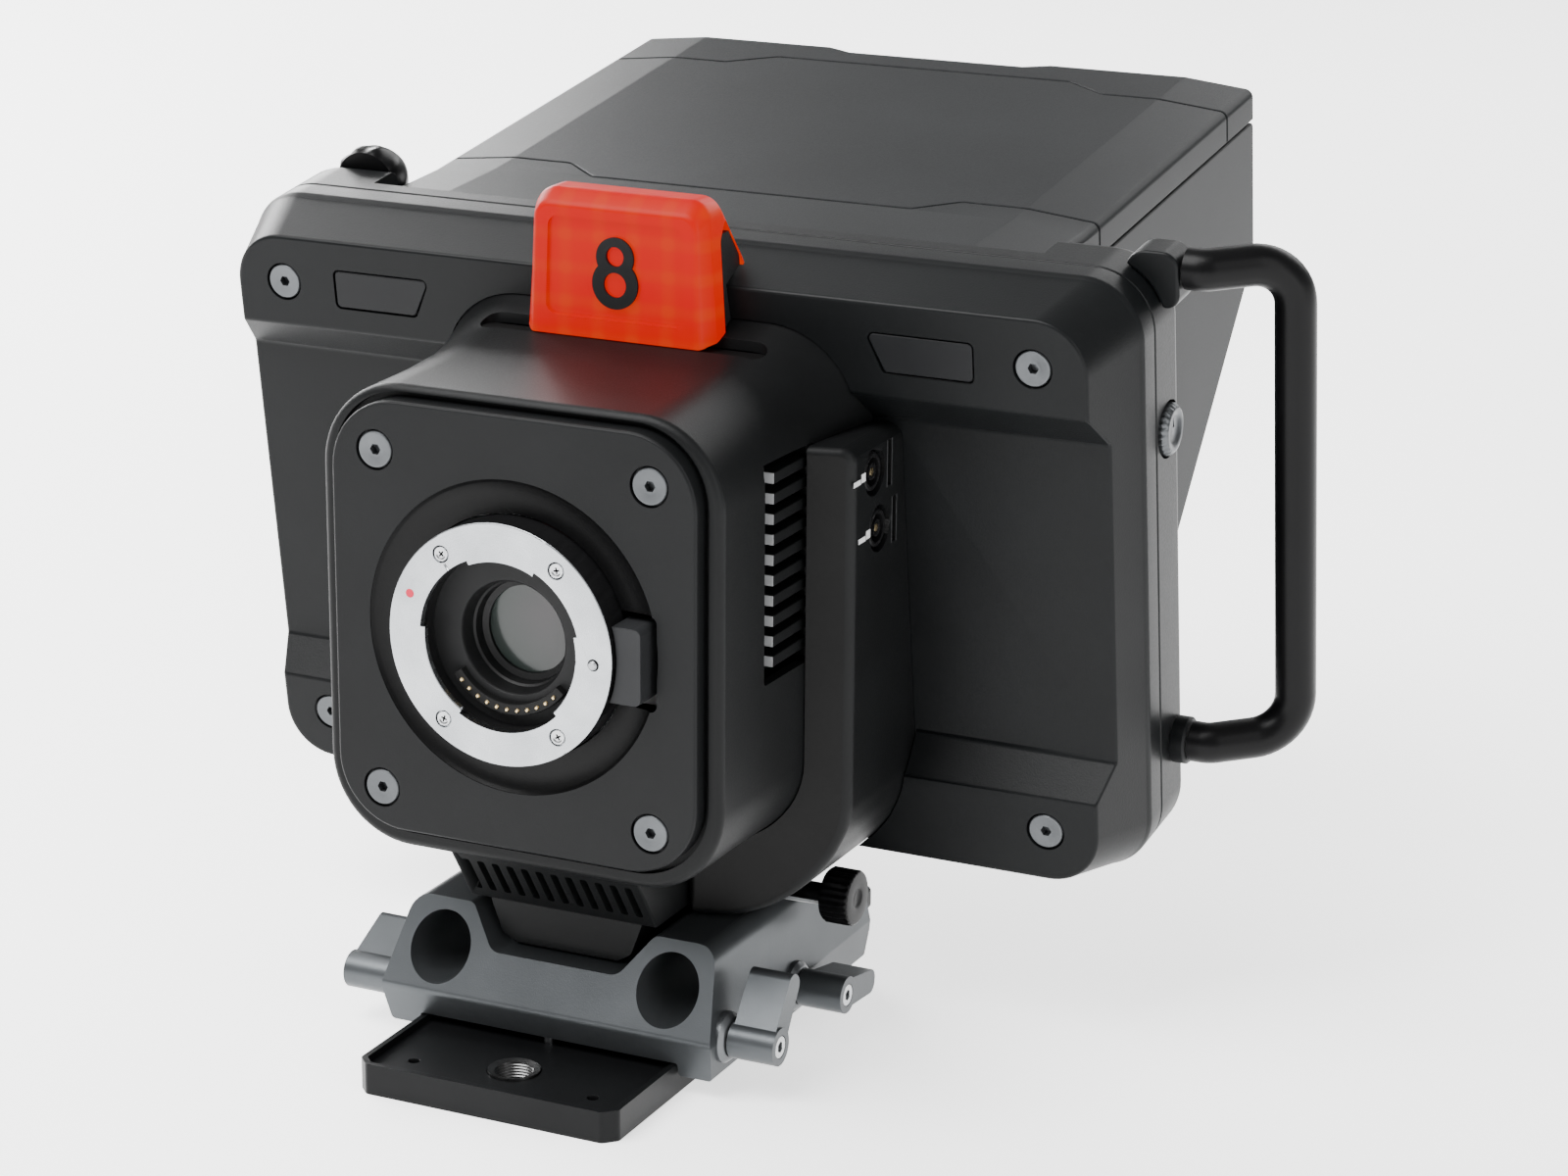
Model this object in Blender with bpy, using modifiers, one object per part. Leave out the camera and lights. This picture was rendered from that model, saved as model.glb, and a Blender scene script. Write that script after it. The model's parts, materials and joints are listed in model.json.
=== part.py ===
"""Studio-style cinema camera rig: camera head, tilted monitor housing, folding hood, tally light,
side handle, rod base and sliding tripod plate.  Run: blender --background --python part.py"""

import math

import bmesh
import bpy
from mathutils import Matrix, Vector

MM = 0.001
GAP = 0.35                   # clearance between touching pieces

# ---- driving dimensions, millimetres -------------------------------------------------
LENS_HEIGHT = 108.6          # lens axis above the surface that the tripod plate rests on
FLANGE_Y = -50.0             # front face of the lens mount ring
PLATE_Y = -44.2              # face of the front plate
SEAT_Y = -38.6               # ledge inside the head's front rim that carries the front plate
HEAD_HALF = 50.5             # half width of the camera head at the front
HEAD_TOP = 55.3              # head top above the lens axis
HEAD_BOTTOM = -54.5
HEAD_CORNER = 20.5
WALL = 2.5

RING_OUTER = 27.1
RING_INNER = 20.0

SCREEN_TILT = math.radians(7.9)      # the monitor leans back at its bottom edge
SCREEN_Y = 27.85                     # where the monitor's front plane crosses the lens axis
HOUSING_HALF = 117.0
HOUSING_TOP = 76.5
HOUSING_BOTTOM = -72.5
FRONT_HALF = 110.8
FRONT_TOP = 72.2
FRONT_BOTTOM = -68.2
SEAM_N = 26.0                        # depth of the seam between the housing's two shells
HOUSING_DEPTH = 41.5
RECESS_DEPTH = 7.5

HOOD_HALF = 88.0
HOOD_TOP = 73.5
HOOD_EDGE = 71.5
HOOD_SKIRT = 63.5
HOOD_REAR = 176.8
HOOD_WALL = 1.8
HOOD_HINGE_N = {-1: 62.0, 1: 68.0}   # the left panel folds in front of the right one

ROD_SPACING = 60.0                   # two 15 mm rods
ROD_BORE_R = 7.85
ROD_DROP = -84.3                     # rod axes below the lens axis
CHASSIS_HALF = 43.5
CHASSIS_BOTTOM = -104.0
CHANNEL_TOP = -100.6
CHANNEL_HALF = 34.0
PLATE_HALF = 33.6
PLATE_FRONT_Y = -60.7
PLATE_REAR_Y = 58.0
PLATE_RIM = -101.0
PLATE_FLOOR = -102.7

HANDLE_R = 5.1
HANDLE_X = 142.8
HANDLE_N = 48.0
HANDLE_TOP = 74.5
HANDLE_BOTTOM = -44.5

OBJECT_NAME = "cinema_camera_rig"


# ---- scene and helpers ---------------------------------------------------------------
def clear_scene():
    for obj in list(bpy.data.objects):
        bpy.data.objects.remove(obj, do_unlink=True)


def new_collection(name):
    coll = bpy.data.collections.new(name)
    bpy.context.scene.collection.children.link(coll)
    return coll


clear_scene()
PARTS = new_collection(OBJECT_NAME)
CUTTERS = new_collection("cutters")
MATERIALS = {}


def material(name, colour, roughness, metallic=0.0):
    mat = bpy.data.materials.new(name)
    mat.use_nodes = True
    shader = mat.node_tree.nodes["Principled BSDF"]
    shader.inputs["Base Color"].default_value = (*colour, 1.0)
    shader.inputs["Roughness"].default_value = roughness
    shader.inputs["Metallic"].default_value = metallic
    MATERIALS[name] = mat


material("body_black", (0.022, 0.023, 0.024), 0.48)
material("housing_black", (0.028, 0.031, 0.033), 0.45)
material("base_grey", (0.10, 0.105, 0.11), 0.38, 0.7)
material("bright_metal", (0.62, 0.63, 0.64), 0.28, 1.0)
material("screw_steel", (0.45, 0.46, 0.47), 0.35, 1.0)
material("throat_black", (0.008, 0.008, 0.009), 0.6)
material("sensor_glass", (0.12, 0.20, 0.17), 0.05)
material("board_green", (0.02, 0.10, 0.05), 0.5)
material("alloy", (0.55, 0.56, 0.58), 0.4, 1.0)
material("tally_red", (0.90, 0.05, 0.02), 0.25)
material("print_black", (0.01, 0.01, 0.01), 0.5)
material("screen_glass", (0.01, 0.01, 0.012), 0.08)
material("rubber_black", (0.015, 0.015, 0.015), 0.7)
material("window_grey", (0.06, 0.06, 0.065), 0.35)
material("brass", (0.75, 0.55, 0.22), 0.3, 1.0)


def into(obj, coll):
    for old in list(obj.users_collection):
        old.objects.unlink(obj)
    coll.objects.link(obj)
    return obj


def finish(obj, name, mat, parent=None):
    """Name a piece, give it its material and put it in the object's collection."""
    obj.name = name
    obj.data.name = name
    obj.data.materials.clear()
    obj.data.materials.append(MATERIALS[mat])
    into(obj, PARTS)
    if parent:
        obj.parent = parent
    return obj


def as_cutter(obj, parent=None):
    into(obj, CUTTERS)
    obj.name = "cut_" + obj.name
    obj.hide_render = True
    obj.display_type = 'WIRE'
    if parent:
        obj.parent = parent
    return obj


def mesh_object(bm, name="piece"):
    bmesh.ops.recalc_face_normals(bm, faces=bm.faces)
    mesh = bpy.data.meshes.new(name)
    bm.to_mesh(mesh)
    bm.free()
    obj = bpy.data.objects.new(name, mesh)
    bpy.context.scene.collection.objects.link(obj)
    return obj


def box(low, high):
    """A box between two corners, in millimetres."""
    bm = bmesh.new()
    size = [(h - l) * MM for l, h in zip(low, high)]
    centre = [(h + l) * 0.5 * MM for l, h in zip(low, high)]
    bmesh.ops.create_cube(bm, size=1.0, matrix=Matrix.Translation(centre) @ Matrix.Diagonal((*size, 1.0)))
    return mesh_object(bm)


AXIS_TURN = {"x": Matrix.Rotation(math.pi / 2, 4, 'Y'), "y": Matrix.Rotation(-math.pi / 2, 4, 'X'),
             "z": Matrix.Identity(4)}


def cylinder(centre, radius, length, axis, segments=24, radius_end=None):
    """A cylinder, or a cone whose second radius is at the axis's positive end."""
    bm = bmesh.new()
    place = Matrix.Translation([c * MM for c in centre]) @ AXIS_TURN[axis]
    bmesh.ops.create_cone(bm, cap_ends=True, segments=segments, radius1=radius * MM,
                          radius2=(radius if radius_end is None else radius_end) * MM,
                          depth=length * MM, matrix=place)
    return mesh_object(bm)


def prism(outline, low, high, axis):
    """A flat outline, filled and extruded along one axis.

    The outline's pairs are the other two coordinates, in X, Y, Z order."""
    curve = bpy.data.curves.new("outline", 'CURVE')
    curve.dimensions = '2D'
    curve.fill_mode = 'BOTH'
    curve.extrude = (high - low) * 0.5 * MM
    spline = curve.splines.new('POLY')
    spline.points.add(len(outline) - 1)
    for point, (a, b) in zip(spline.points, outline):
        point.co = (a * MM, b * MM, 0.0, 1.0)
    spline.use_cyclic_u = True
    guide = bpy.data.objects.new("outline", curve)
    middle = (high + low) * 0.5 * MM
    if axis == "z":
        guide.matrix_world = Matrix.Translation((0, 0, middle))
    elif axis == "y":
        guide.matrix_world = Matrix.Translation((0, middle, 0)) @ Matrix.Rotation(math.pi / 2, 4, 'X')
    else:
        turn = Matrix(((0, 0, 1, 0), (1, 0, 0, 0), (0, 1, 0, 0), (0, 0, 0, 1)))
        guide.matrix_world = Matrix.Translation((middle, 0, 0)) @ turn
    return curve_to_mesh(guide)


def curve_to_mesh(guide):
    bpy.context.scene.collection.objects.link(guide)
    bpy.context.view_layer.update()
    mesh = bpy.data.meshes.new_from_object(guide.evaluated_get(bpy.context.evaluated_depsgraph_get()))
    mesh.transform(guide.matrix_world)
    bm = bmesh.new()
    bm.from_mesh(mesh)
    bmesh.ops.remove_doubles(bm, verts=bm.verts, dist=1e-6)
    obj = mesh_object(bm)
    bpy.data.objects.remove(guide, do_unlink=True)
    bpy.data.meshes.remove(mesh)
    return obj


def turned(profile, centre, axis, steps=24):
    """A turned solid: profile pairs are (radius, height along the axis), top to bottom."""
    bm = bmesh.new()
    verts = [bm.verts.new((r * MM, 0, h * MM)) for r, h in profile]
    for a, b in zip(verts, verts[1:]):
        bm.edges.new((a, b))
    mesh = bpy.data.meshes.new("turned")
    bm.to_mesh(mesh)
    bm.free()
    obj = bpy.data.objects.new("turned", mesh)
    bpy.context.scene.collection.objects.link(obj)
    screw = obj.modifiers.new("turn", 'SCREW')
    screw.steps = steps
    screw.render_steps = steps
    screw.use_merge_vertices = True
    screw.merge_threshold = 0.00001
    screw.use_smooth_shade = False
    obj.matrix_world = Matrix.Translation([c * MM for c in centre]) @ AXIS_TURN[axis]
    return obj


def rounded_rect(half, low, high, radius, steps=5, centre=0.0):
    """Corner-rounded rectangle, anticlockwise, as (x, z) pairs."""
    points = []
    corners = ((half - radius, high - radius, 0), (-half + radius, high - radius, 90),
               (-half + radius, low + radius, 180), (half - radius, low + radius, 270))
    for cx, cz, start in corners:
        for i in range(steps + 1):
            turn = math.radians(start + 90 * i / steps)
            points.append((centre + cx + radius * math.cos(turn), cz + radius * math.sin(turn)))
    return points


def loft(sections):
    """A closed solid through (depth, outline) sections; outlines lie in the X-Z plane."""
    bm = bmesh.new()
    loops = [[bm.verts.new((x * MM, y * MM, z * MM)) for x, z in outline] for y, outline in sections]
    for a, b in zip(loops, loops[1:]):
        for i in range(len(a)):
            j = (i + 1) % len(a)
            bm.faces.new((a[i], a[j], b[j], b[i]))
    bm.faces.new(loops[0])
    bm.faces.new(loops[-1])
    return mesh_object(bm)


def boolean(target, tool, operation='DIFFERENCE'):
    mod = target.modifiers.new("bool", 'BOOLEAN')
    mod.operation = operation
    mod.solver = 'EXACT'
    mod.object = tool
    return target


def cut(target, tool, parent=None):
    return boolean(target, as_cutter(tool, parent))


def keep(target, tool, parent=None):
    return boolean(target, as_cutter(tool, parent), 'INTERSECT')


def join(target, tool, parent=None):
    return boolean(target, as_cutter(tool, parent), 'UNION')


def bevel(obj, width, segments=2, angle=40):
    mod = obj.modifiers.new("bevel", 'BEVEL')
    mod.width = width * MM
    mod.segments = segments
    mod.limit_method = 'ANGLE'
    mod.angle_limit = math.radians(angle)
    return obj


def empty(name, location, rotation=(0, 0, 0)):
    obj = bpy.data.objects.new(name, None)
    obj.location = [c * MM for c in location]
    obj.rotation_euler = rotation
    PARTS.objects.link(obj)
    return obj


LENS = empty("lens_frame", (0, 0, LENS_HEIGHT))                    # z = 0 on the lens axis
SCREEN = empty("screen_frame", (0, SCREEN_Y, LENS_HEIGHT), (SCREEN_TILT, 0, 0))
bpy.context.view_layer.update()


# ---- camera head ---------------------------------------------------------------------
HEAD_SECTIONS = [            # depth, half width, bottom, top, corner radius
    (-40.7, HEAD_HALF - 2.0, HEAD_BOTTOM + 2.0, HEAD_TOP - 2.0, HEAD_CORNER - 2.0),
    (-40.1, HEAD_HALF - 0.6, HEAD_BOTTOM + 0.6, HEAD_TOP - 0.6, HEAD_CORNER - 0.6),
    (-38.7, HEAD_HALF, HEAD_BOTTOM, HEAD_TOP, HEAD_CORNER),
    (-20.0, 50.6, -54.5, 55.6, HEAD_CORNER),
    (-4.0, 50.9, -54.6, 56.6, HEAD_CORNER),
    (6.0, 51.4, -54.8, 58.4, HEAD_CORNER),
    (13.0, 52.0, -55.0, 60.8, HEAD_CORNER),
    (20.0, 52.8, -55.4, 63.8, HEAD_CORNER),
    (27.0, 54.0, -55.8, 67.0, HEAD_CORNER),
    (60.0, 62.0, -57.0, 82.0, HEAD_CORNER),
]
CAVITY_FRONT_Y = -36.2


def head_loft(inset, cavity=False):
    """The head's outside drawn in by an inset; as a cavity it starts behind the plate's ledge."""
    sections = []
    for depth, half, low, high, radius in HEAD_SECTIONS:
        sections.append((depth, rounded_rect(half - inset, low + inset, high - inset, radius - inset)))
    if cavity:
        sections = [(CAVITY_FRONT_Y, sections[2][1])] + sections[3:]
    return loft(sections)


def behind_screen_plane(depth):
    """A slab that holds everything behind one depth of the monitor frame."""
    return box((-200, depth, -200), (200, depth + 150, 200))


HEAD_BACK_N = RECESS_DEPTH - GAP
VENT_LOW, VENT_HIGH = -10.0, 41.0
VENT_FRONT, VENT_BACK = -19.5, 5.0
TALLY_Y = 9.3
SEAT_OUTLINE = (47.3, -50.8, 53.7, 18.3)     # half width, bottom, top, corner radius
PLATE_OUTLINE = (45.9, -49.4, 52.3, 16.9)


def body_shell():
    shell = finish(head_loft(0), "body_shell", "body_black", LENS)
    cut(shell, head_loft(WALL, cavity=True), LENS)
    cut(shell, loft([(y, rounded_rect(*SEAT_OUTLINE)) for y in (FLANGE_Y, SEAT_Y)]), LENS)
    cut(shell, loft([(y, rounded_rect(40.5, -45.0, 47.0, 13.0)) for y in (SEAT_Y - 1, CAVITY_FRONT_Y + 1)]), LENS)
    cut(shell, behind_screen_plane(HEAD_BACK_N), SCREEN)
    for side in (-1, 1):
        cut(shell, box((min(side * 40, side * 55), VENT_FRONT, VENT_LOW),
                       (max(side * 40, side * 55), VENT_BACK, VENT_HIGH)), LENS)
    recess = [(x, y + TALLY_Y) for x, y in rounded_rect(36.8, -3.2, 3.2, 3.1)]
    cut(shell, prism(recess, 56.2, 70, "z"), LENS)


def front_plate():
    half, low, high, radius = PLATE_OUTLINE
    plate = loft([(PLATE_Y, rounded_rect(half - 0.6, low + 0.6, high - 0.6, radius - 0.6)),
                  (PLATE_Y + 0.6, rounded_rect(half, low, high, radius)),
                  (SEAT_Y - GAP, rounded_rect(half, low, high, radius))])
    finish(plate, "front_plate", "body_black", LENS)
    cut(plate, cylinder((0, PLATE_Y - 0.1, 0), 37.6, 2.6, "y", 40, 33.0), LENS)
    cut(plate, cylinder((0, PLATE_Y, 0), RING_OUTER + GAP, 14, "y", 40), LENS)
    cut(plate, box((25.5, -50, -11), (36.3, -35, 11)), LENS)
    for x, z in SCREW_CORNERS:
        cut(plate, cylinder((x, PLATE_Y, z), 4.8, 3.4, "y", 20), LENS)
        cut(plate, cylinder((x, PLATE_Y, z), 2.5, 14, "y", 12), LENS)


SCREW_CORNERS = [(-34.5, 40.5), (34.5, 40.5), (-34.5, -39.5), (34.5, -39.5)]


def countersunk_screw(name, centre, parent):
    """Flush socket screw whose head faces -Y; centre is the middle of the head's face."""
    profile = [(0, 0), (4.0, 0), (4.3, -0.3), (4.3, -0.9), (2.0, -1.5), (2.0, -5.5), (0, -5.5)]
    screw = turned(profile, (0, 0, 0), "z", 16)
    screw.matrix_world = Matrix.Translation([c * MM for c in centre]) @ Matrix.Rotation(math.pi / 2, 4, 'X')
    finish(screw, name, "screw_steel", parent)
    cut(screw, cylinder((centre[0], centre[1], centre[2]), 1.6, 2.0, "y", 6), parent)


def head_screws():
    for index, (x, z) in enumerate(SCREW_CORNERS, 1):
        countersunk_screw(f"front_plate_screw_{index}", (x, PLATE_Y + 0.1, z), LENS)


def mount_ring():
    depth = 8.2
    profile = [(RING_INNER, 0), (RING_OUTER - 0.5, 0), (RING_OUTER, -0.5), (RING_OUTER, -depth),
               (RING_INNER + 1.2, -depth), (RING_INNER + 1.2, -2.4), (RING_INNER, -1.6), (RING_INNER, 0)]
    ring = turned(profile, (0, 0, 0), "z", 48)
    ring.matrix_world = Matrix.Translation((0, FLANGE_Y * MM, 0)) @ Matrix.Rotation(math.pi / 2, 4, 'X')
    finish(ring, "mount_ring", "bright_metal", LENS)
    for angle in (25, 150, 265):
        turn = math.radians(angle)
        notch = cylinder((math.cos(turn) * 15.6, FLANGE_Y, math.sin(turn) * 15.6), 6.0, 4.0, "y", 16)
        cut(ring, notch, LENS)
    cut(ring, cylinder((23.6, FLANGE_Y, 0), 1.4, 30, "y", 12), LENS)


def mount_throat():
    profile = [(18.2, 0), (20.9, 0), (20.9, -5.6), (26.5, -5.6), (26.5, -9.0), (17.0, -19.0),
               (13.6, -19.0), (13.6, -17.2), (16.2, -14.0), (18.2, -3.0), (18.2, 0)]
    throat = turned(profile, (0, 0, 0), "z", 32)
    throat.matrix_world = Matrix.Translation((0, (FLANGE_Y + 2.9) * MM, 0)) @ Matrix.Rotation(math.pi / 2, 4, 'X')
    finish(throat, "mount_throat", "throat_black", LENS)
    cut(throat, cylinder((23.6, FLANGE_Y, 0), 1.4, 60, "y", 12), LENS)
    cut(throat, box((-9, -50, -21.5), (9, -41.5, -15)), LENS)


def contact_block():
    """Curved strip at the bottom of the throat that carries the lens contacts."""
    outline = []
    for radius, angles in ((20.3, range(245, 296, 10)), (16.6, range(295, 244, -10))):
        outline += [(radius * math.cos(math.radians(a)), radius * math.sin(math.radians(a))) for a in angles]
    block = prism(outline, -46.0, -42.0, "y")
    finish(block, "contact_block", "throat_black", LENS)


def image_sensor():
    glass = finish(box((-11, -27.4, -8.5), (11, -26.2, 8.5)), "sensor_glass", "sensor_glass", LENS)
    bevel(glass, 0.3, 1)
    board = finish(box((-19, -25.8, -17), (19, -23.6, 17)), "sensor_board", "board_green", LENS)
    bevel(board, 0.4, 1)


def lens_release():
    button = finish(box((26.5, -48.4, -9.4), (34.6, -39.0, 9.4)), "lens_release_button",
                    "window_grey", LENS)
    bevel(button, 1.2, 2)
    cut(button, cylinder((0, -44, 0), RING_OUTER + 0.6, 30, "y", 48), LENS)
    pin = turned([(0, 0.0), (0.8, 0.0), (1.1, -0.4), (1.1, -9.0), (0, -9.0)], (0, 0, 0), "z", 12)
    pin.matrix_world = Matrix.Translation((23.6 * MM, (FLANGE_Y - 0.8) * MM, 0)) @ \
        Matrix.Rotation(math.pi / 2, 4, 'X')
    finish(pin, "lens_lock_pin", "screw_steel", LENS)


FAN_CENTRE = (0.0, 8.0, 14.0)
FAN_R = 17.5


def cooling():
    sink = finish(box((-30, -21.5, -28), (30, -18.5, 34)), "heat_sink", "alloy", LENS)
    for index in range(8):
        x = -26.5 + index * 7.0
        join(sink, box((x - 1.0, -19.0, -26), (x + 1.0, -9.0, 32)), LENS)
    x, y, z = FAN_CENTRE
    frame = finish(box((x - 20, y - 5, z - 20), (x + 20, y + 5, z + 20)), "fan_frame", "rubber_black", LENS)
    cut(frame, cylinder((x, y - 2.5, z), FAN_R + 1.0, 10, "y", 32), LENS)
    for side in (-1, 1):
        cut(frame, cylinder((x + side * 9.8, y + 4, z), 6.0, 8, "y", 16), LENS)
    rotor = finish(cylinder((x, y - 2.2, z), 6.5, 5.0, "y", 20), "fan_rotor", "rubber_black", LENS)
    for index in range(7):
        blade = box((3.5, -2.0, -0.6), (FAN_R - 0.6, 2.0, 0.6))
        blade.data.transform(Matrix.Rotation(math.radians(28), 4, 'X'))
        blade.data.transform(Matrix.Rotation(2 * math.pi * index / 7, 4, 'Y'))
        blade.data.transform(Matrix.Translation((x * MM, (y - 2.2) * MM, z * MM)))
        join(rotor, blade, LENS)
    board = finish(box((-36, 15.6, -34), (36, 17.4, 38)), "main_board", "board_green", LENS)
    bevel(board, 0.4, 1)


def side_vent(name, side):
    """Louvre set in the window of the head's side wall: ten level fins behind an open pocket."""
    outer, pocket, inner = 50.2, 45.6, 43.6
    vent = finish(vent_box(side, inner, outer, VENT_FRONT + GAP, VENT_BACK - GAP, VENT_LOW + GAP, VENT_HIGH - GAP),
                  name, "body_black", LENS)
    cut(vent, vent_box(side, pocket, 55, VENT_FRONT + 1.4, FIN_FRONT, VENT_LOW + 1.4, VENT_HIGH - 1.0), LENS)
    for index in range(FIN_COUNT - 1):
        z = FIN_TOP_Z - FIN_PITCH * (index + 0.5)
        cut(vent, vent_box(side, pocket, 55, FIN_FRONT - 0.5, VENT_BACK - 1.6, z - 1.1, z + 1.1), LENS)


FIN_COUNT = 10
FIN_PITCH = 4.75
FIN_TOP_Z = 37.0
FIN_FRONT = -12.0


def vent_box(side, near, far, front, back, low, high):
    """A box on one side of the head, between two distances from its middle."""
    return box((min(side * near, side * far), front, low), (max(side * near, side * far), back, high))


PORT_OUTER = 61.8
PORT_FRONT_SLOPE = 0.3               # the block's front leans back toward its outer edge
PORT_CENTRES = [(14.5, 33.0), (17.5, 19.0)]
PORT_BOTTOM = -73.3
PORT_OUTLINE = [(25.35, PORT_BOTTOM), (34.0, PORT_BOTTOM), (38.5, -72.4), (43.5, -70.5), (48.5, -67.2),
                (53.0, -63.3), (57.5, -57.6), (60.6, -51.0), (PORT_OUTER, -45.0), (PORT_OUTER, 39.2),
                (60.2, 40.8), (30.0, 40.8), (25.35, -20.0)]


def offset(points, distance):
    """Anticlockwise outline moved outward, corner by corner."""
    moved = []
    for before, here, after in zip([points[-1]] + points[:-1], points, points[1:] + [points[0]]):
        a = (Vector(here) - Vector(before)).normalized()
        b = (Vector(after) - Vector(here)).normalized()
        out = Vector((a.y + b.y, -a.x - b.x)).normalized()
        moved.append(tuple(Vector(here) + out * distance / max(0.5, out.dot(Vector((a.y, -a.x))))))
    return moved


def port_block():
    """Connector block beside the head that wraps under it and reaches back to the monitor."""
    block = prism(PORT_OUTLINE, -10.0, 60.0, "y")
    finish(block, "port_block", "body_black", LENS)
    bevel(block, 0.5, 1, 60)
    front = [(x, 0.4 + (x - HEAD_HALF - 1.0) * PORT_FRONT_SLOPE) for x in (10.0, 80.0)]
    cut(block, prism([(10.0, -30.0), (80.0, -30.0), front[1], front[0]], -120, 120, "z"), LENS)
    cut(block, head_loft(-GAP), LENS)
    cut(block, behind_screen_plane(HEAD_BACK_N), SCREEN)
    for index, (y, z) in enumerate(PORT_CENTRES, 1):
        cut(block, cylinder((PORT_OUTER, y, z), 5.6, 13.0, "x", 24), LENS)
        profile = [(0, 3.8), (0.8, 3.8), (0.8, 1.2), (3.4, 1.2), (3.4, 5.4), (4.5, 5.4), (4.5, 0), (0, 0)]
        jack = turned(profile, (PORT_OUTER - 6.0, y, z), "x", 20)
        finish(jack, f"video_jack_{index}", "bright_metal", LENS)


NECK_FACE = ((-33.0, -54.9), (-21.3, -72.0))     # depth and height of the slotted face's two edges


def neck_vent():
    """Block under the head with a leaning, slotted front."""
    outline = [NECK_FACE[0], NECK_FACE[1], (28.0, -72.0), (28.0, -56.3), (20.0, -55.8), (13.0, -55.4),
               (6.0, -55.2), (-4.0, -55.0)]
    block = finish(prism(outline, -24.6, 24.6, "x"), "neck_vent", "body_black", LENS)
    (y0, z0), (y1, z1) = NECK_FACE
    lean = math.atan2(y1 - y0, z0 - z1)
    for index in range(12):
        x = (index - 5.5) * 3.85
        slot = box((x - 0.95, -3.0, -5.7), (x + 0.95, 3.0, 5.7))
        slot.data.transform(Matrix.Rotation(lean, 4, 'X'))
        slot.data.transform(Matrix.Translation((0, -26.4 * MM, -64.4 * MM)))
        cut(block, slot, LENS)


# ---- monitor housing -----------------------------------------------------------------
def housing_sections(rows, steps=5):
    return [(n, rounded_rect(half, low, high, radius, steps)) for n, half, low, high, radius in rows]


def housing_blank(grow):
    """The housing's outside as one solid, enlarged by a clearance."""
    rows = [(-grow, FRONT_HALF + grow, FRONT_BOTTOM - grow, FRONT_TOP + grow, 12.9 + grow),
            (18.5, HOUSING_HALF + grow, HOUSING_BOTTOM - grow, HOUSING_TOP + grow, 14.5 + grow),
            (HOUSING_DEPTH + grow, HOUSING_HALF + grow, HOUSING_BOTTOM - grow, HOUSING_TOP + grow, 14.5 + grow)]
    return loft(housing_sections(rows))


MONITOR_SCREWS = [(-97.6, 60.4), (97.6, 60.4), (-97.6, -55.5), (97.6, -55.5)]


def window_outline(side, grow):
    """Trapezoid with a slanted inner end, seen from the front."""
    points = [(61.0 - grow, 55.0 - grow), (83.5 + grow, 55.0 - grow), (83.5 + grow, 65.0 + grow),
              (56.6 - grow, 65.0 + grow)]
    return [(side * x, z) for x, z in (points if side > 0 else points[::-1])]


def monitor_front_shell():
    rows = [(0.0, FRONT_HALF - 0.9, FRONT_BOTTOM + 0.9, FRONT_TOP - 0.9, 12.0),
            (0.9, FRONT_HALF, FRONT_BOTTOM, FRONT_TOP, 12.9),
            (17.6, HOUSING_HALF - 0.7, HOUSING_BOTTOM + 0.7, HOUSING_TOP - 0.5, 14.0),
            (19.4, HOUSING_HALF, HOUSING_BOTTOM, HOUSING_TOP, 14.5),
            (SEAM_N - GAP, HOUSING_HALF, HOUSING_BOTTOM, HOUSING_TOP, 14.5)]
    shell = finish(loft(housing_sections(rows)), "monitor_front_shell", "housing_black", SCREEN)
    inner = [(10.5, 109.0, -66.0, 68.5, 10.0), (40.0, 113.5, -70.0, 70.5, 11.0)]
    cut(shell, loft(housing_sections(inner, 3)), SCREEN)
    recess = [(-5.0, 55.0), (RECESS_DEPTH, 41.0), (RECESS_DEPTH, -38.5), (-5.0, -52.0)]
    cut(shell, prism(recess, -140, 140, "x"), SCREEN)
    for pocket in (head_loft(-GAP), prism(offset(PORT_OUTLINE, GAP), -10.0, 60.0, "y")):
        cut(pocket, behind_screen_plane(RECESS_DEPTH), SCREEN)
        cut(shell, pocket, LENS)
    for side in (-1, 1):
        cut(shell, prism(window_outline(side, 0.0), -5, 1.4, "y"), SCREEN)
    for x, w in MONITOR_SCREWS:
        cut(shell, cylinder((x, 0, w), 4.8, 3.4, "y", 20), SCREEN)
        cut(shell, cylinder((x, 0, w), 2.5, 13.0, "y", 12), SCREEN)


def windows():
    for side, name in ((-1, "window_left"), (1, "window_right")):
        pane = prism(window_outline(side, -0.5), 0.0, 1.1, "y")
        finish(pane, name, "window_grey", SCREEN)


def monitor_screws():
    for index, (x, w) in enumerate(MONITOR_SCREWS, 1):
        countersunk_screw(f"monitor_screw_{index}", (x, 0.1, w), SCREEN)


LCD_HALF, LCD_LOW, LCD_HIGH = 78.5, -35.0, 54.0
BUTTONS = [(-64.0, -52.0), (-48.0, -52.0), (48.0, -52.0), (64.0, -52.0)]
BUTTON_R = 3.6
DIAL = (34.0, 35.5)          # depth and height of the side dial
DIAL_R = 6.3


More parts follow.
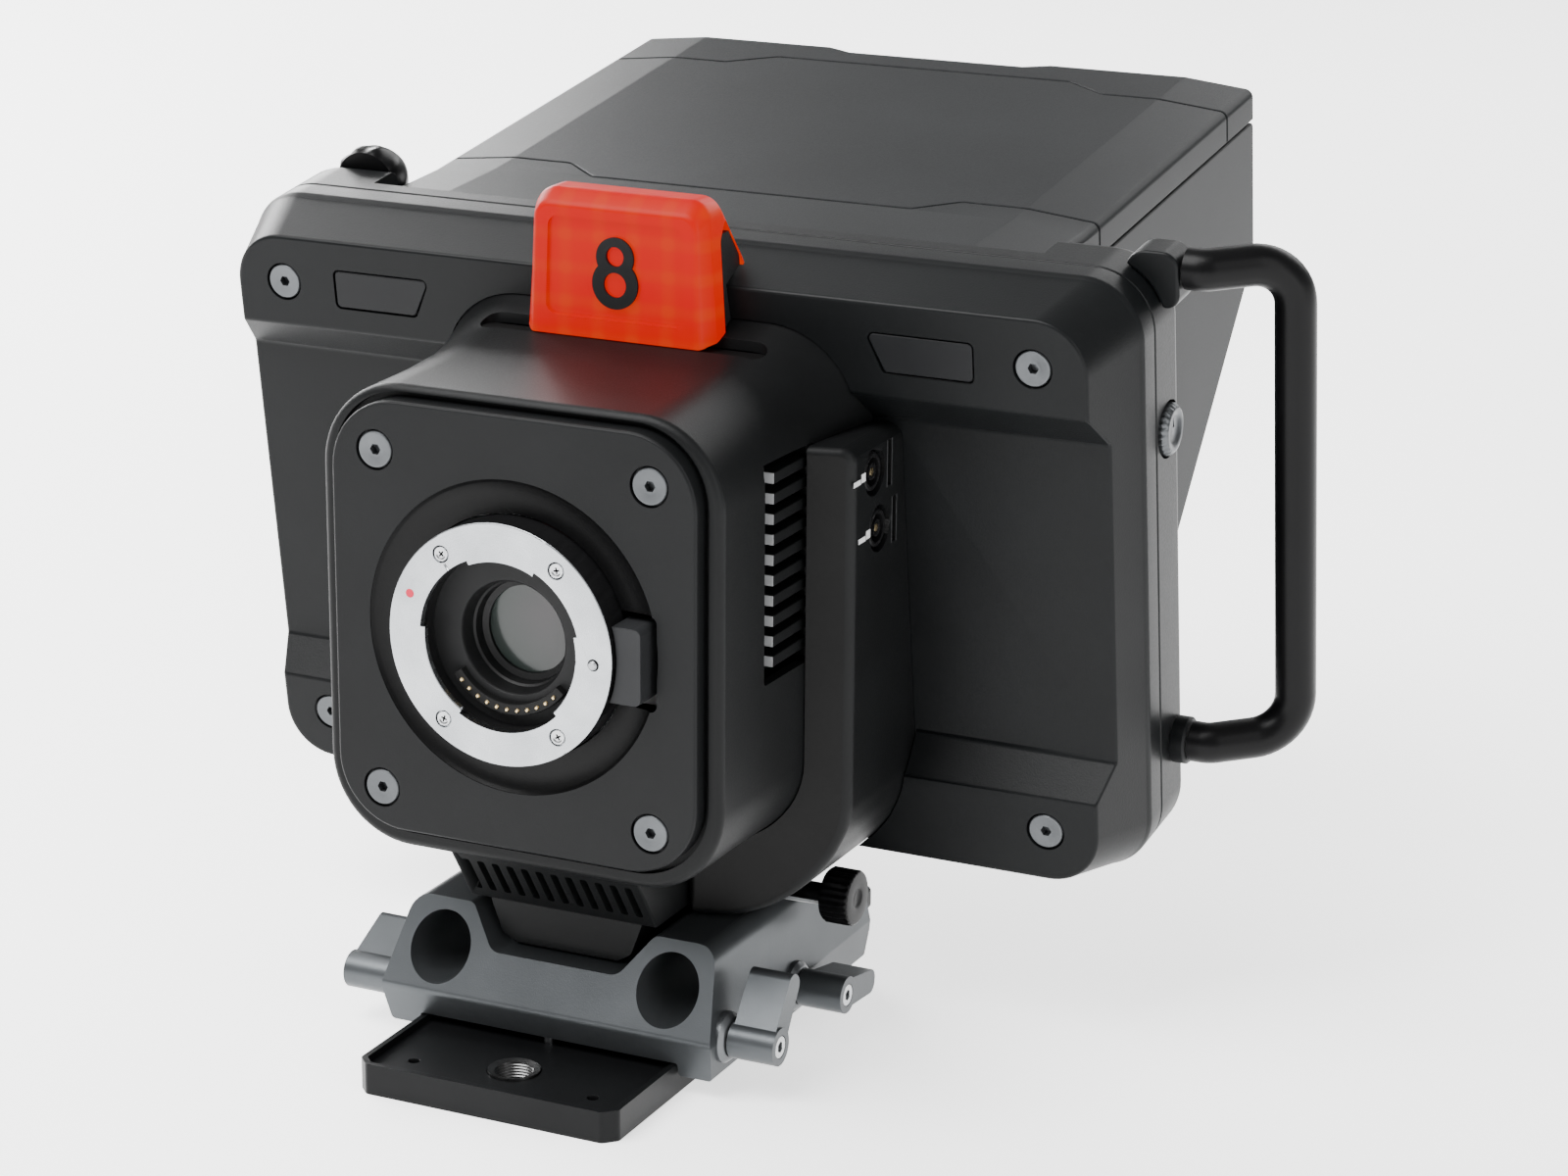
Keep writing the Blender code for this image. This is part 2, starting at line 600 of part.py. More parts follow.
def monitor_rear_bezel():
    rows = [(SEAM_N, HOUSING_HALF, HOUSING_BOTTOM, HOUSING_TOP, 14.5),
            (38.5, HOUSING_HALF, HOUSING_BOTTOM, HOUSING_TOP, 14.5),
            (HOUSING_DEPTH, HOUSING_HALF - 2.6, HOUSING_BOTTOM + 2.6, HOUSING_TOP - 2.6, 12.0)]
    bezel = finish(loft(housing_sections(rows)), "monitor_rear_bezel", "housing_black", SCREEN)
    cut(bezel, box((-106, 10, -66), (106, 37.5, 65)), SCREEN)
    cut(bezel, box((-LCD_HALF - GAP, 30, LCD_LOW - GAP), (LCD_HALF + GAP, 50, LCD_HIGH + GAP)), SCREEN)
    cut(bezel, box((-HOOD_HALF - 0.6, 30.6, HOOD_EDGE - 2.6), (HOOD_HALF + 0.6, 60, 100)), SCREEN)
    for x, w in BUTTONS:
        cut(bezel, cylinder((x, 40, w), BUTTON_R + 0.4, 12, "y", 20), SCREEN)
    cut(bezel, cylinder((HOUSING_HALF, DIAL[0], DIAL[1]), DIAL_R + 0.6, 8.0, "x", 28), SCREEN)


def display():
    finish(box((-82, 30.5, -39), (82, 36.0, 58)), "lcd_panel", "alloy", SCREEN)
    glass = finish(box((-LCD_HALF, 36.4, LCD_LOW), (LCD_HALF, 40.4, LCD_HIGH)), "screen_glass",
                   "screen_glass", SCREEN)
    bevel(glass, 0.5, 1)


def rear_buttons():
    for index, (x, w) in enumerate(BUTTONS, 1):
        profile = [(0, 4.4), (BUTTON_R - 0.8, 4.3), (BUTTON_R, 3.6), (BUTTON_R, 0), (0, 0)]
        button = turned(profile, (0, 0, 0), "z", 20)
        button.matrix_world = Matrix.Translation((x * MM, 38.6 * MM, w * MM)) @ \
            Matrix.Rotation(-math.pi / 2, 4, 'X')
        finish(button, f"rear_button_{index}", "window_grey", SCREEN)


def side_dial():
    profile = [(0, 5.4), (DIAL_R - 1.2, 5.4), (DIAL_R, 4.6), (DIAL_R, 0), (0, 0)]
    dial = turned(profile, (HOUSING_HALF - 3.6, DIAL[0], DIAL[1]), "x", 28)
    finish(dial, "monitor_dial", "bright_metal", SCREEN)


def lock_knob_left():
    """Domed thumb screw on the housing's back, outside the hood."""
    profile = [(0, 15.0), (2.4, 14.6), (4.2, 13.0), (6.8, 9.0), (8.9, 5.0), (9.3, 2.4), (8.4, 0), (0, 0)]
    knob = turned(profile, (0, 0, 0), "z", 24)
    knob.matrix_world = Matrix.Translation((-98.2 * MM, (HOUSING_DEPTH + GAP) * MM, 71.5 * MM)) @ \
        Matrix.Rotation(-math.pi / 2, 4, 'X')
    finish(knob, "hood_lock_knob", "rubber_black", SCREEN)


# ---- hood ----------------------------------------------------------------------------
def roof_outline(skirt, lift=0.0):
    """Cross-section of the folded roof sheet: outer line, then inner line."""
    top, edge = HOOD_TOP + lift, HOOD_EDGE + lift
    outer = [(-HOOD_HALF, skirt), (-HOOD_HALF, edge), (-69.5, top), (69.5, top), (HOOD_HALF, edge),
             (HOOD_HALF, skirt)]
    t = HOOD_WALL
    inner = [(HOOD_HALF - t, skirt), (HOOD_HALF - t, edge - t), (69.5, top - t), (-69.5, top - t),
             (-HOOD_HALF + t, edge - t), (-HOOD_HALF + t, skirt)]
    return outer + inner


FRONT_JOG = [(-100, 66.5), (-53, 66.5), (-43, 58.5), (43, 58.5), (53, 66.5), (100, 66.5)]
REAR_JOG = [(-100, 157.0), (-54, 157.0), (-42, 165.0), (42, 165.0), (54, 157.0), (100, 157.0)]


def shift(points, amount):
    return [(x, n + amount) for x, n in points]


def hood_frame():
    """Fixed front part of the hood: roof strip and two side cheeks."""
    frame = loft([(30.9, roof_outline(-62.0, 1.9)), (58.0, roof_outline(-62.0)), (80.0, roof_outline(-62.0))])
    finish(frame, "hood_frame", "housing_black", SCREEN)
    cut(frame, box((-100, 20, -80), (100, HOUSING_DEPTH + GAP, 69.4)), SCREEN)
    rim = [(-100, 20)] + FRONT_JOG + [(100, 20)]
    keep(frame, prism(rim, -90, 90, "z"), SCREEN)
    cut(frame, box((-100, HOOD_HINGE_N[-1] - 1.5, -80), (-80, 90, HOOD_SKIRT)), SCREEN)


def hood_top():
    panel = loft([(50.0, roof_outline(HOOD_SKIRT)), (170.0, roof_outline(HOOD_SKIRT))])
    finish(panel, "hood_top_panel", "housing_black", SCREEN)
    keep(panel, prism(shift(FRONT_JOG, 0.6) + shift(REAR_JOG, -0.6)[::-1], -90, 90, "z"), SCREEN)
    strip = loft([(150.0, roof_outline(HOOD_SKIRT)), (180.0, roof_outline(HOOD_SKIRT))])
    finish(strip, "hood_rear_strip", "housing_black", SCREEN)
    back = [(100, HOOD_REAR), (32, HOOD_REAR), (25, HOOD_REAR - 3), (-25, HOOD_REAR - 3),
            (-32, HOOD_REAR), (-100, HOOD_REAR)]
    keep(strip, prism(REAR_JOG + back, -90, 90, "z"), SCREEN)


def hood_side(name, side):
    """Side panel with a slanted lower rear edge; its hinge line stands at the front."""
    n0 = HOOD_HINGE_N[side] - 0.9
    outline = [(n0, -62.0), (81.0, -62.0), (HOOD_REAR, 26.0), (HOOD_REAR, HOOD_SKIRT - 0.6),
               (n0, HOOD_SKIRT - 0.6)]
    outer, inner = side * HOOD_HALF, side * (HOOD_HALF - HOOD_WALL)
    panel = prism(outline, min(outer, inner), max(outer, inner), "x")
    finish(panel, name, "housing_black", SCREEN)


# ---- tally light ---------------------------------------------------------------------
TALLY_FACE = 5.8             # depth of the light's front face
TALLY_HIGH = 92.4


def tally_block(inset):
    """Wedge-shaped solid, narrower at the top, drawn in by an inset on every side."""
    front, high = TALLY_FACE + inset, TALLY_HIGH - inset
    outline = [(front, 50.0), (front, 86.4 - inset * 0.6), (10.6, high), (16.2, high),
               (27.0 - inset, 78.0 - inset), (27.0 - inset, 50.0)]
    block = prism(outline, -40, 40, "x")
    taper = [(-25.2 + inset, 48), (25.2 - inset, 48), (20.8 - inset, high + 2), (-20.8 + inset, high + 2)]
    return keep(block, prism(taper, -40, 60, "y"), LENS)


def tally_light():
    lens = finish(tally_block(0.0), "tally_lens", "tally_red", LENS)
    bevel(lens, 1.4, 2, 35)
    cut(lens, prism([(12.6, 40), (13.6, 88.2), (19.6, 88.2), (40.0, 70), (40.0, 40)], -40, 40, "x"), LENS)
    cut(lens, tally_block(2.4), LENS)
    cut(lens, head_loft(-GAP), LENS)
    foot = finish(tally_block(0.6), "tally_base", "rubber_black", LENS)
    cut(foot, prism([(0, 40), (12.9, 40), (13.9, 87.9), (19.9, 87.9), (26.0, 100), (0, 100)], -40, 40, "x"), LENS)
    cut(foot, head_loft(-GAP), LENS)
    cut(foot, housing_blank(GAP), SCREEN)
    plate = [(x, y + TALLY_Y) for x, y in rounded_rect(36.4, -2.8, 2.8, 2.7)]
    join(foot, prism(plate, 56.5, 58.2, "z"), LENS)
    join(foot, box((-14, 9.7, 57.5), (14, 12.0, 66)), LENS)
    join(foot, box((-14, 11.0, 62.2), (14, 15.0, 66)), LENS)
    finish(box((-14, 8.6, 62), (14, 9.3, 84)), "tally_led_board", "board_green", LENS)


def tally_number():
    """A single digit built from two rings that meet at the waist."""
    y = TALLY_FACE - 0.45
    digit = finish(cylinder((0, y, 71.8), 5.85, 0.7, "y", 28), "tally_number", "print_black", LENS)
    join(digit, cylinder((0, y, 77.9), 4.8, 0.7, "y", 24), LENS)
    cut(digit, cylinder((0, y, 71.6), 2.9, 4.0, "y", 20), LENS)
    cut(digit, cylinder((0, y, 78.2), 2.3, 4.0, "y", 20), LENS)


# ---- handle --------------------------------------------------------------------------
def rounded_path(points, radii, steps=6):
    """A polyline whose inner corners are replaced by arcs."""
    path = [Vector(points[0])]
    for before, corner, after, radius in zip(points, points[1:], points[2:], radii):
        a = (Vector(before) - Vector(corner)).normalized()
        b = (Vector(after) - Vector(corner)).normalized()
        half = a.angle(b) / 2
        reach = radius / math.tan(half)
        centre = Vector(corner) + (a + b).normalized() * (radius / math.sin(half))
        start = Vector(corner) + a * reach - centre
        end = Vector(corner) + b * reach - centre
        sweep = start.angle(end)
        for i in range(steps + 1):
            t = i / steps
            path.append(centre + (start * math.sin((1 - t) * sweep) + end * math.sin(t * sweep)) / math.sin(sweep))
    path.append(Vector(points[-1]))
    return path


def handle():
    start = HOUSING_HALF + 4.5
    corners = [(start, 35.6, HANDLE_TOP), (start + 4.0, 35.6, HANDLE_TOP), (HANDLE_X, HANDLE_N, HANDLE_TOP),
               (HANDLE_X, HANDLE_N, HANDLE_BOTTOM), (start + 4.0, 35.6, HANDLE_BOTTOM),
               (start, 35.6, HANDLE_BOTTOM)]
    curve = bpy.data.curves.new("handle_tube", 'CURVE')
    curve.dimensions = '3D'
    curve.bevel_depth = HANDLE_R * MM
    curve.bevel_resolution = 3
    curve.use_fill_caps = True
    path = rounded_path(corners, (5.0, 10.5, 10.5, 5.0))
    spline = curve.splines.new('POLY')
    spline.points.add(len(path) - 1)
    for point, place in zip(spline.points, path):
        point.co = (*(place * MM), 1.0)
    tube = bpy.data.objects.new("handle_tube", curve)
    finish(tube, "handle_tube", "rubber_black", SCREEN)
    top = finish(box((107.0, 30.5, 63.0), (121.2, 40.6, 79.6)), "handle_clamp_top", "housing_black", SCREEN)
    cut(top, housing_blank(GAP), SCREEN)
    bevel(top, 1.0, 1, 50)
    low = cylinder((HOUSING_HALF + 2.2, 35.6, HANDLE_BOTTOM), 6.2, 3.6, "x", 20)
    finish(low, "handle_clamp_bottom", "housing_black", SCREEN)


# ---- base ----------------------------------------------------------------------------
def base_chassis():
    top = ROD_DROP + 10.4
    right = [(CHANNEL_HALF, CHASSIS_BOTTOM), (42.6, CHASSIS_BOTTOM), (CHASSIS_HALF, -94.5), (42.2, -84.5),
             (40.8, -78.8), (38.9, -75.6), (35.8, top), (25.4, top), (23.2, -74.9), (21.6, -77.0),
             (17.6, -81.4), (15.2, -82.9), (12.2, -83.4)]
    left = [(-x, z) for x, z in reversed(right)]
    outline = [(CHANNEL_HALF, CHANNEL_TOP)] + right + left + [(-CHANNEL_HALF, CHANNEL_TOP)]
    chassis = finish(prism(outline, -45, 70, "y"), "base_chassis", "base_grey", LENS)
    side = [(-21.0, top + 0.1), (-32.0, -94.0), (-28.5, CHASSIS_BOTTOM - 1), (50.0, CHASSIS_BOTTOM - 1),
            (57.5, -97.0), (57.0, -83.4), (34.0, -82.6), (12.5, top + 0.1)]
    keep(chassis, prism(side, -60, 60, "x"), LENS)
    for sign in (-1, 1):
        cut(chassis, cylinder((sign * ROD_SPACING / 2, -36, ROD_DROP), ROD_BORE_R, 100, "y", 28), LENS)
    for sign, y, z, _ in LEVERS.values():
        join(chassis, cylinder((sign * (HUB_FACE - 2.5), y, z), HUB_R, 5.0, "x", 24), LENS)


def camera_shoe():
    outline = [(-20.0, -72.35), (-17.0, -80.4), (-13.5, -82.5), (13.5, -82.5), (17.0, -80.4), (20.0, -72.35)]
    shoe = finish(prism(outline, -20.0, 30.0, "y"), "camera_shoe", "base_grey", LENS)
    join(shoe, box((-15.0, 28.5, -82.5), (15.0, 44.0, -70.0)), LENS)


def tripod_plate():
    front, back, half, chamfer = PLATE_FRONT_Y, PLATE_REAR_Y, PLATE_HALF, 3.0
    outline = [(-half + chamfer, front), (half - chamfer, front), (half, front + chamfer), (half, back),
               (-half, back), (-half, front + chamfer)]
    plate = finish(prism(outline, -LENS_HEIGHT, PLATE_RIM, "z"), "tripod_plate", "base_grey", LENS)
    rim, corner = 1.5, chamfer + 0.6
    tray = [(-half + corner, front + rim), (half - corner, front + rim), (half - rim, front + corner),
            (half - rim, back - rim), (-half + rim, back - rim), (-half + rim, front + corner)]
    cut(plate, prism(tray, PLATE_FLOOR, -90, "z"), LENS)
    cut(plate, cylinder((0, THREAD_Y, -106), 6.3, 20, "z", 24), LENS)


THREAD_Y = -45.6


def thread_insert():
    low, high = -LENS_HEIGHT + 0.4 + 106, PLATE_FLOOR + 0.5 + 106
    insert = cylinder((0, THREAD_Y, (low + high) / 2 - 106), 6.0, high - low, "z", 24)
    finish(insert, "thread_insert", "brass", LENS)
    cut(insert, cylinder((0, THREAD_Y, -106), 4.6, 20, "z", 24), LENS)


HUB_R = 6.0
HUB_FACE = 45.0
LEVER_END = 57.0
LEVERS = {                    # name: (side, depth, height, wing angle from straight up)
    "wing_lever_front_right": (1, -22.8, -94.8, 35),
    "wing_lever_rear_right": (1, 14.4, -95.9, 98),
    "wing_lever_front_left": (-1, -22.4, -96.2, 62),
}


def wing_lever(name, side, y, z, lean):
    """Barrel along X with one flat wing and a hexagon socket in its outer end."""
    start, end = side * (HUB_FACE + GAP), side * LEVER_END
    barrel = cylinder(((start + end) / 2, 0, 0), 4.5, abs(end - start), "x", 20)
    barrel.location = (0, y * MM, z * MM)
    finish(barrel, name, "base_grey", LENS)
    wing = prism([(-3.6, 0.0), (3.6, 0.0), (2.9, 15.4), (1.6, 17.2), (-1.6, 17.2), (-2.9, 15.4)],
                 min(start, end) + 0.6, max(start, end) - 0.6, "x")
    wing.data.transform(Matrix.Rotation(math.radians(-lean), 4, 'X'))
    wing.data.transform(Matrix.Translation((0, y * MM, z * MM)))
    join(bevel(barrel, 0.5, 1, 50), bevel(wing, 0.5, 1, 50), LENS)
    cut(barrel, cylinder((end, y, z), 1.5, 3.0, "x", 6), LENS)


SHOE_KNOB = (46.4, 26.0, -76.0)


def shoe_knob():
    """Thumb wheel that locks the head on the base."""
    profile = [(0, 7.6), (6.0, 7.6), (6.8, 6.8), (6.8, 0.8), (6.2, 0), (2.3, 0), (2.3, -26.2), (0, -26.2)]
    finish(turned(profile, SHOE_KNOB, "x", 24), "shoe_lock_knob", "rubber_black", LENS)


def release_tab():
    tab = finish(box((35.5, 57.9, -93.5), (41.5, 62.5, -87.5)), "plate_release_tab", "rubber_black", LENS)
    bevel(tab, 0.8, 2)


def build():
    body_shell()
    front_plate()
    head_screws()
    mount_ring()
    mount_throat()
    contact_block()
    image_sensor()
    lens_release()
    cooling()
    side_vent("side_vent_right", 1)
    side_vent("side_vent_left", -1)
    port_block()
    neck_vent()
    monitor_front_shell()
    windows()
    monitor_screws()
    monitor_rear_bezel()
    display()
    rear_buttons()
    side_dial()
    lock_knob_left()
    hood_frame()
    hood_top()
    hood_side("hood_side_left", -1)
    hood_side("hood_side_right", 1)
    tally_light()
    tally_number()
    handle()
    base_chassis()
    camera_shoe()
    tripod_plate()
    thread_insert()
    for name, values in LEVERS.items():
        wing_lever(name, *values)
    shoe_knob()
    release_tab()


build()
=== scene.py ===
"""Looks of the cinema camera rig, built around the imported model."""
import json
from math import atan2, copysign, cos, hypot, pi, radians, sin, tan

import bmesh
import bpy
from mathutils import Matrix, Vector


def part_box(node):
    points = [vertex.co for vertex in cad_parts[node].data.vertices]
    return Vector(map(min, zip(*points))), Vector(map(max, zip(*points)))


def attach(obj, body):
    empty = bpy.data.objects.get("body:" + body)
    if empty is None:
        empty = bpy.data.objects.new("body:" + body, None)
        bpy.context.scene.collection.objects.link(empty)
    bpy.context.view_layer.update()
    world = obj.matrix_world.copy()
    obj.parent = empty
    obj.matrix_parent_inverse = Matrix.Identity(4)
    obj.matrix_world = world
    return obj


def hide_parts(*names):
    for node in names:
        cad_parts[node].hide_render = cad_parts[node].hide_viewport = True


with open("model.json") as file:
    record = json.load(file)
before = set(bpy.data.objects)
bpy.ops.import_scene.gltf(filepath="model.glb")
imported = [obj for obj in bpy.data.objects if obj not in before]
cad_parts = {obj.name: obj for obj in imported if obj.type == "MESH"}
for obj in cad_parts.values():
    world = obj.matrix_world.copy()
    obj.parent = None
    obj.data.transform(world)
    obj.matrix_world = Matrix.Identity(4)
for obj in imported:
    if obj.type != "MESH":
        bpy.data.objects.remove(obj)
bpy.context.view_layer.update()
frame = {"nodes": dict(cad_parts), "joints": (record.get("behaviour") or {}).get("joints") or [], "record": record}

MM = 0.001
GAP = 0.35
SIDES = ((-1, "left"), (1, "right"))

# ---- places read from the frame ----
JOINTS = {joint["name"]: joint for joint in frame["joints"]}
RING_LOW, RING_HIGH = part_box("mount_ring")
LENS_Z = (RING_LOW.z + RING_HIGH.z) / 2
FLANGE_Y = RING_LOW.y / MM
SCREEN_UP = Vector(JOINTS["hood_left_fold"]["axis"]).normalized()
TILT = atan2(-SCREEN_UP.y, SCREEN_UP.z)
LENS = Matrix.Translation((0, 0, LENS_Z))


def extent(node, direction):
    """Lowest and highest position of a CAD node along a direction through the origin."""
    reach = [vert.co.dot(direction) for vert in frame["nodes"][node].data.vertices]
    return min(reach), max(reach)


SCREEN_NORMAL = Vector((0, cos(TILT), sin(TILT)))
FRONT_PLANE = extent("monitor_front_shell", SCREEN_NORMAL)[0]
SCREEN_ORIGIN_Y = (FRONT_PLANE - LENS_Z * SCREEN_NORMAL.z) / SCREEN_NORMAL.y
SCREEN = Matrix.Translation((0, SCREEN_ORIGIN_Y, LENS_Z)) @ Matrix.Rotation(TILT, 4, 'X')


# ---- mesh helpers ----
def mesh_object(bm, name, place=None):
    bmesh.ops.recalc_face_normals(bm, faces=bm.faces)
    mesh = bpy.data.meshes.new(name)
    bm.to_mesh(mesh)
    bm.free()
    obj = bpy.data.objects.new(name, mesh)
    bpy.context.scene.collection.objects.link(obj)
    if place:
        obj.matrix_world = place
    return obj


def rounded_rect(half, low, high, radius, steps=14):
    """Corner-rounded rectangle as (x, z) pairs, anticlockwise."""
    points = []
    corners = ((half - radius, high - radius, 0), (-half + radius, high - radius, 90),
        (-half + radius, low + radius, 180), (half - radius, low + radius, 270))
    for cx, cz, start in corners:
        for i in range(steps + 1):
            turn = radians(start + 90 * i / steps)
            points.append((cx + radius * cos(turn), cz + radius * sin(turn)))
    return points


def skin(name, loops, place):
    """Closed solid through loops of local points in millimetres, capped at both ends."""
    bm = bmesh.new()
    loops = [[bm.verts.new(Vector(point) * MM) for point in loop] for loop in loops]
    for a, b in zip(loops, loops[1:]):
        for i in range(len(a)):
            j = (i + 1) % len(a)
            bm.faces.new((a[i], a[j], b[j], b[i]))
    bm.faces.new(loops[0])
    bm.faces.new(loops[-1])
    return mesh_object(bm, name, place)


def loft(name, sections, place=LENS):
    """Closed solid through (depth, outline) sections across the local y axis."""
    return skin(name, [[(x, y, z) for x, z in outline] for y, outline in sections], place)


def prism(name, outline, low, high, axis, place=LENS):
    """Flat outline extruded along a local axis; its pairs are the other two coordinates."""
    def corner(a, b, depth):
        return {"x": (depth, a, b), "y": (a, depth, b), "z": (a, b, depth)}[axis]

    return skin(name, [[corner(a, b, depth) for a, b in outline] for depth in (low, high)], place)


def box(name, low, high, place=LENS):
    outline = [(low[0], low[1]), (high[0], low[1]), (high[0], high[1]), (low[0], high[1])]
    return prism(name, outline, low[2], high[2], "z", place)


AXIS_TURN = {"x": Matrix.Rotation(pi / 2, 4, 'Y'), "y": Matrix.Rotation(-pi / 2, 4, 'X'),
    "-x": Matrix.Rotation(-pi / 2, 4, 'Y'), "-y": Matrix.Rotation(pi / 2, 4, 'X'), "z": Matrix.Identity(4)}


def turned(name, profile, centre, axis, place=LENS, steps=48):
    """Lathe a closed (radius, height) profile about a local axis through a centre."""
    bm = bmesh.new()
    turn = shift(*centre) @ AXIS_TURN[axis]
    rings = []
    for radius, height in profile:
        count = 1 if radius < 1e-6 else steps
        ring = []
        for i in range(count):
            angle = 2 * pi * i / steps
            point = Vector((radius * cos(angle), radius * sin(angle), height)) * MM
            ring.append(bm.verts.new(turn @ point))
        rings.append(ring)
    closed = profile[0][0] > 1e-6
    pairs = list(zip(rings, rings[1:])) + ([(rings[-1], rings[0])] if closed else [])
    for a, b in pairs:
        for i in range(steps):
            j = (i + 1) % steps
            quad = [a[i % len(a)], a[j % len(a)], b[j % len(b)], b[i % len(b)]]
            face = list(dict.fromkeys(quad))
            if len(face) > 2:
                bm.faces.new(face)
    return mesh_object(bm, name, place)


def shift(x, y, z):
    return Matrix.Translation(Vector((x, y, z)) * MM)


def disc(name, centre, radius, length, axis, place=LENS, steps=32):
    half = length / 2
    return turned(name, [(0, half), (radius, half), (radius, -half), (0, -half)], centre, axis, place, steps)


def boolean(obj, tool, operation):
    """Apply a Boolean at once and drop the tool."""
    mod = obj.modifiers.new("bool", 'BOOLEAN')
    mod.operation = operation
    mod.solver = 'EXACT'
    mod.object = tool
    apply_modifiers(obj)
    bpy.data.objects.remove(tool, do_unlink=True)
    return obj


def cut(obj, tool):
    return boolean(obj, tool, 'DIFFERENCE')


def apply_modifiers(obj):
    bpy.context.view_layer.update()
    graph = bpy.context.evaluated_depsgraph_get()
    mesh = bpy.data.meshes.new_from_object(obj.evaluated_get(graph))
    obj.modifiers.clear()
    old = obj.data
    obj.data = mesh
    bpy.data.meshes.remove(old)
    return obj


def soften(obj, width, segments=3, angle=32):
    """Round the sharp edges and shade the surface smooth."""
    bm = bmesh.new()
    bm.from_mesh(obj.data)
    bmesh.ops.dissolve_limit(bm, angle_limit=radians(0.6), verts=bm.verts, edges=bm.edges)
    bm.to_mesh(obj.data)
    bm.free()
    if width:
        mod = obj.modifiers.new("bevel", 'BEVEL')
        mod.width = width * MM
        mod.segments = segments
        mod.limit_method = 'ANGLE'
        mod.angle_limit = radians(angle)
        mod.use_clamp_overlap = True
        mod.harden_normals = True
        apply_modifiers(obj)
    return shade(obj)


def shade(obj, angle=35):
    obj.data.shade_smooth()
    obj.data.set_sharp_from_angle(angle=radians(angle))
    mod = obj.modifiers.new("normals", 'WEIGHTED_NORMAL')
    mod.keep_sharp = True
    mod.weight = 100
    return apply_modifiers(obj)


def paint(obj, look, test):
    """Second finish on the faces whose middle (mm) and normal pass a test."""
    obj.data.materials.append(LOOKS[look])
    for face in obj.data.polygons:
        if test(face.center / MM, face.normal):
            face.material_index = len(obj.data.materials) - 1
    return obj


def dress(obj, look, slot_name, *nodes, body="rig"):
    """Give a piece its material and body, and hide the CAD nodes it stands for; the slot name is not used."""
    obj.data.materials.clear()
    obj.data.materials.append(LOOKS[look])
    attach(obj, body)
    if nodes:
        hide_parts(*nodes)
    return obj


# ---- shape helpers ----
def arc(before, corner, after, radius, steps):
    """Points of the arc that rounds one corner, in a plane or in space."""
    corner = Vector(corner)
    a, b = (Vector(before) - corner).normalized(), (Vector(after) - corner).normalized()
    half = a.angle(b) / 2
    reach = radius / tan(half)
    centre = corner + (a + b).normalized() * (radius / sin(half))
    start, end = corner + a * reach - centre, corner + b * reach - centre
    sweep = start.angle(end)
    return [centre + (start * sin((1 - k / steps) * sweep) + end * sin(k / steps * sweep)) / sin(sweep)
        for k in range(steps + 1)]


def round_corners(points, radii, steps=6):
    """Polygon whose corners become arcs; one radius for all, or one for each corner."""
    if not isinstance(radii, (list, tuple)):
        radii = [radii] * len(points)
    result = []
    for i, radius in enumerate(radii):
        after = points[(i + 1) % len(points)]
        result += arc(points[i - 1], points[i], after, radius, steps) if radius > 0 else [Vector(points[i])]
    return [tuple(point) for point in result]


def soft_rect(x0, z0, x1, z1, radii, steps=6):
    return round_corners([(x0, z0), (x1, z0), (x1, z1), (x0, z1)], radii, steps)


def slab_behind(name, depth):
    """Everything behind one depth of the monitor frame."""
    return box(name, (-200, depth, -200), (200, depth + 150, 200), SCREEN)


def join(name, pieces):
    """Solids kept apart but carried by one object."""
    bm = bmesh.new()
    for piece in pieces:
        part = bmesh.new()
        part.from_mesh(piece.data)
        part.transform(piece.matrix_world)
        mesh = bpy.data.meshes.new("part")
        part.to_mesh(mesh)
        part.free()
        bm.from_mesh(mesh)
        bpy.data.meshes.remove(mesh)
        bpy.data.objects.remove(piece, do_unlink=True)
    return mesh_object(bm, name)


# ---- materials ----
class Nodes:
    """Small helper for building one material's node tree."""

    def __init__(self, name, colour, roughness, metallic=0):
        self.mat = bpy.data.materials.new(name)
        self.mat.use_nodes = True
        self.tree = self.mat.node_tree
        self.shader = self.tree.nodes["Principled BSDF"]
        self.look("Base Color", (*colour, 1))
        self.look("Roughness", roughness)
        self.look("Metallic", metallic)
        self.position = self.add("ShaderNodeTexCoord").outputs["Object"]

    def add(self, kind, **settings):
        node = self.tree.nodes.new(kind)
        for key, value in settings.items():
            if key in node.inputs:
                node.inputs[key].default_value = value
            else:
                setattr(node, key, value)
        return node

    def put(self, socket, value):
        """Link a socket to another one, or give it a value."""
        if isinstance(value, bpy.types.NodeSocket):
            self.tree.links.new(value, socket)
        else:
            socket.default_value = value

    def look(self, name, value):
        self.put(self.shader.inputs[name], value)

    def maths(self, operation, *values):
        """A maths node on sockets or numbers."""
        node = self.add("ShaderNodeMath", operation=operation)
        for socket, value in zip(node.inputs, values):
            self.put(socket, value)
        return node.outputs[0]

    def split(self):
        node = self.add("ShaderNodeSeparateXYZ")
        self.put(node.inputs[0], self.position)
        return node.outputs

    def noise(self, scale, detail):
        node = self.add("ShaderNodeTexNoise", Scale=scale, Detail=detail, Roughness=0.55)
        self.put(node.inputs["Vector"], self.position)
        return node.outputs["Fac"]

    def ramp(self, fac, low, high, low_colour, high_colour):
        node = self.add("ShaderNodeValToRGB")
        for stop, position, colour in zip(node.color_ramp.elements, (low, high), (low_colour, high_colour)):
            stop.position = position
            stop.color = (*colour, 1)
        self.put(node.inputs["Fac"], fac)
        return node.outputs["Color"]

    def spread(self, fac, low, high):
        node = self.add("ShaderNodeMapRange")
        node.inputs["To Min"].default_value = low
        node.inputs["To Max"].default_value = high
        self.put(node.inputs["Value"], fac)
        return node.outputs["Result"]

    def bump(self, height, strength, distance):
        node = self.add("ShaderNodeBump", Strength=strength, Distance=distance)
        self.put(node.inputs["Height"], height)
        self.look("Normal", node.outputs["Normal"])


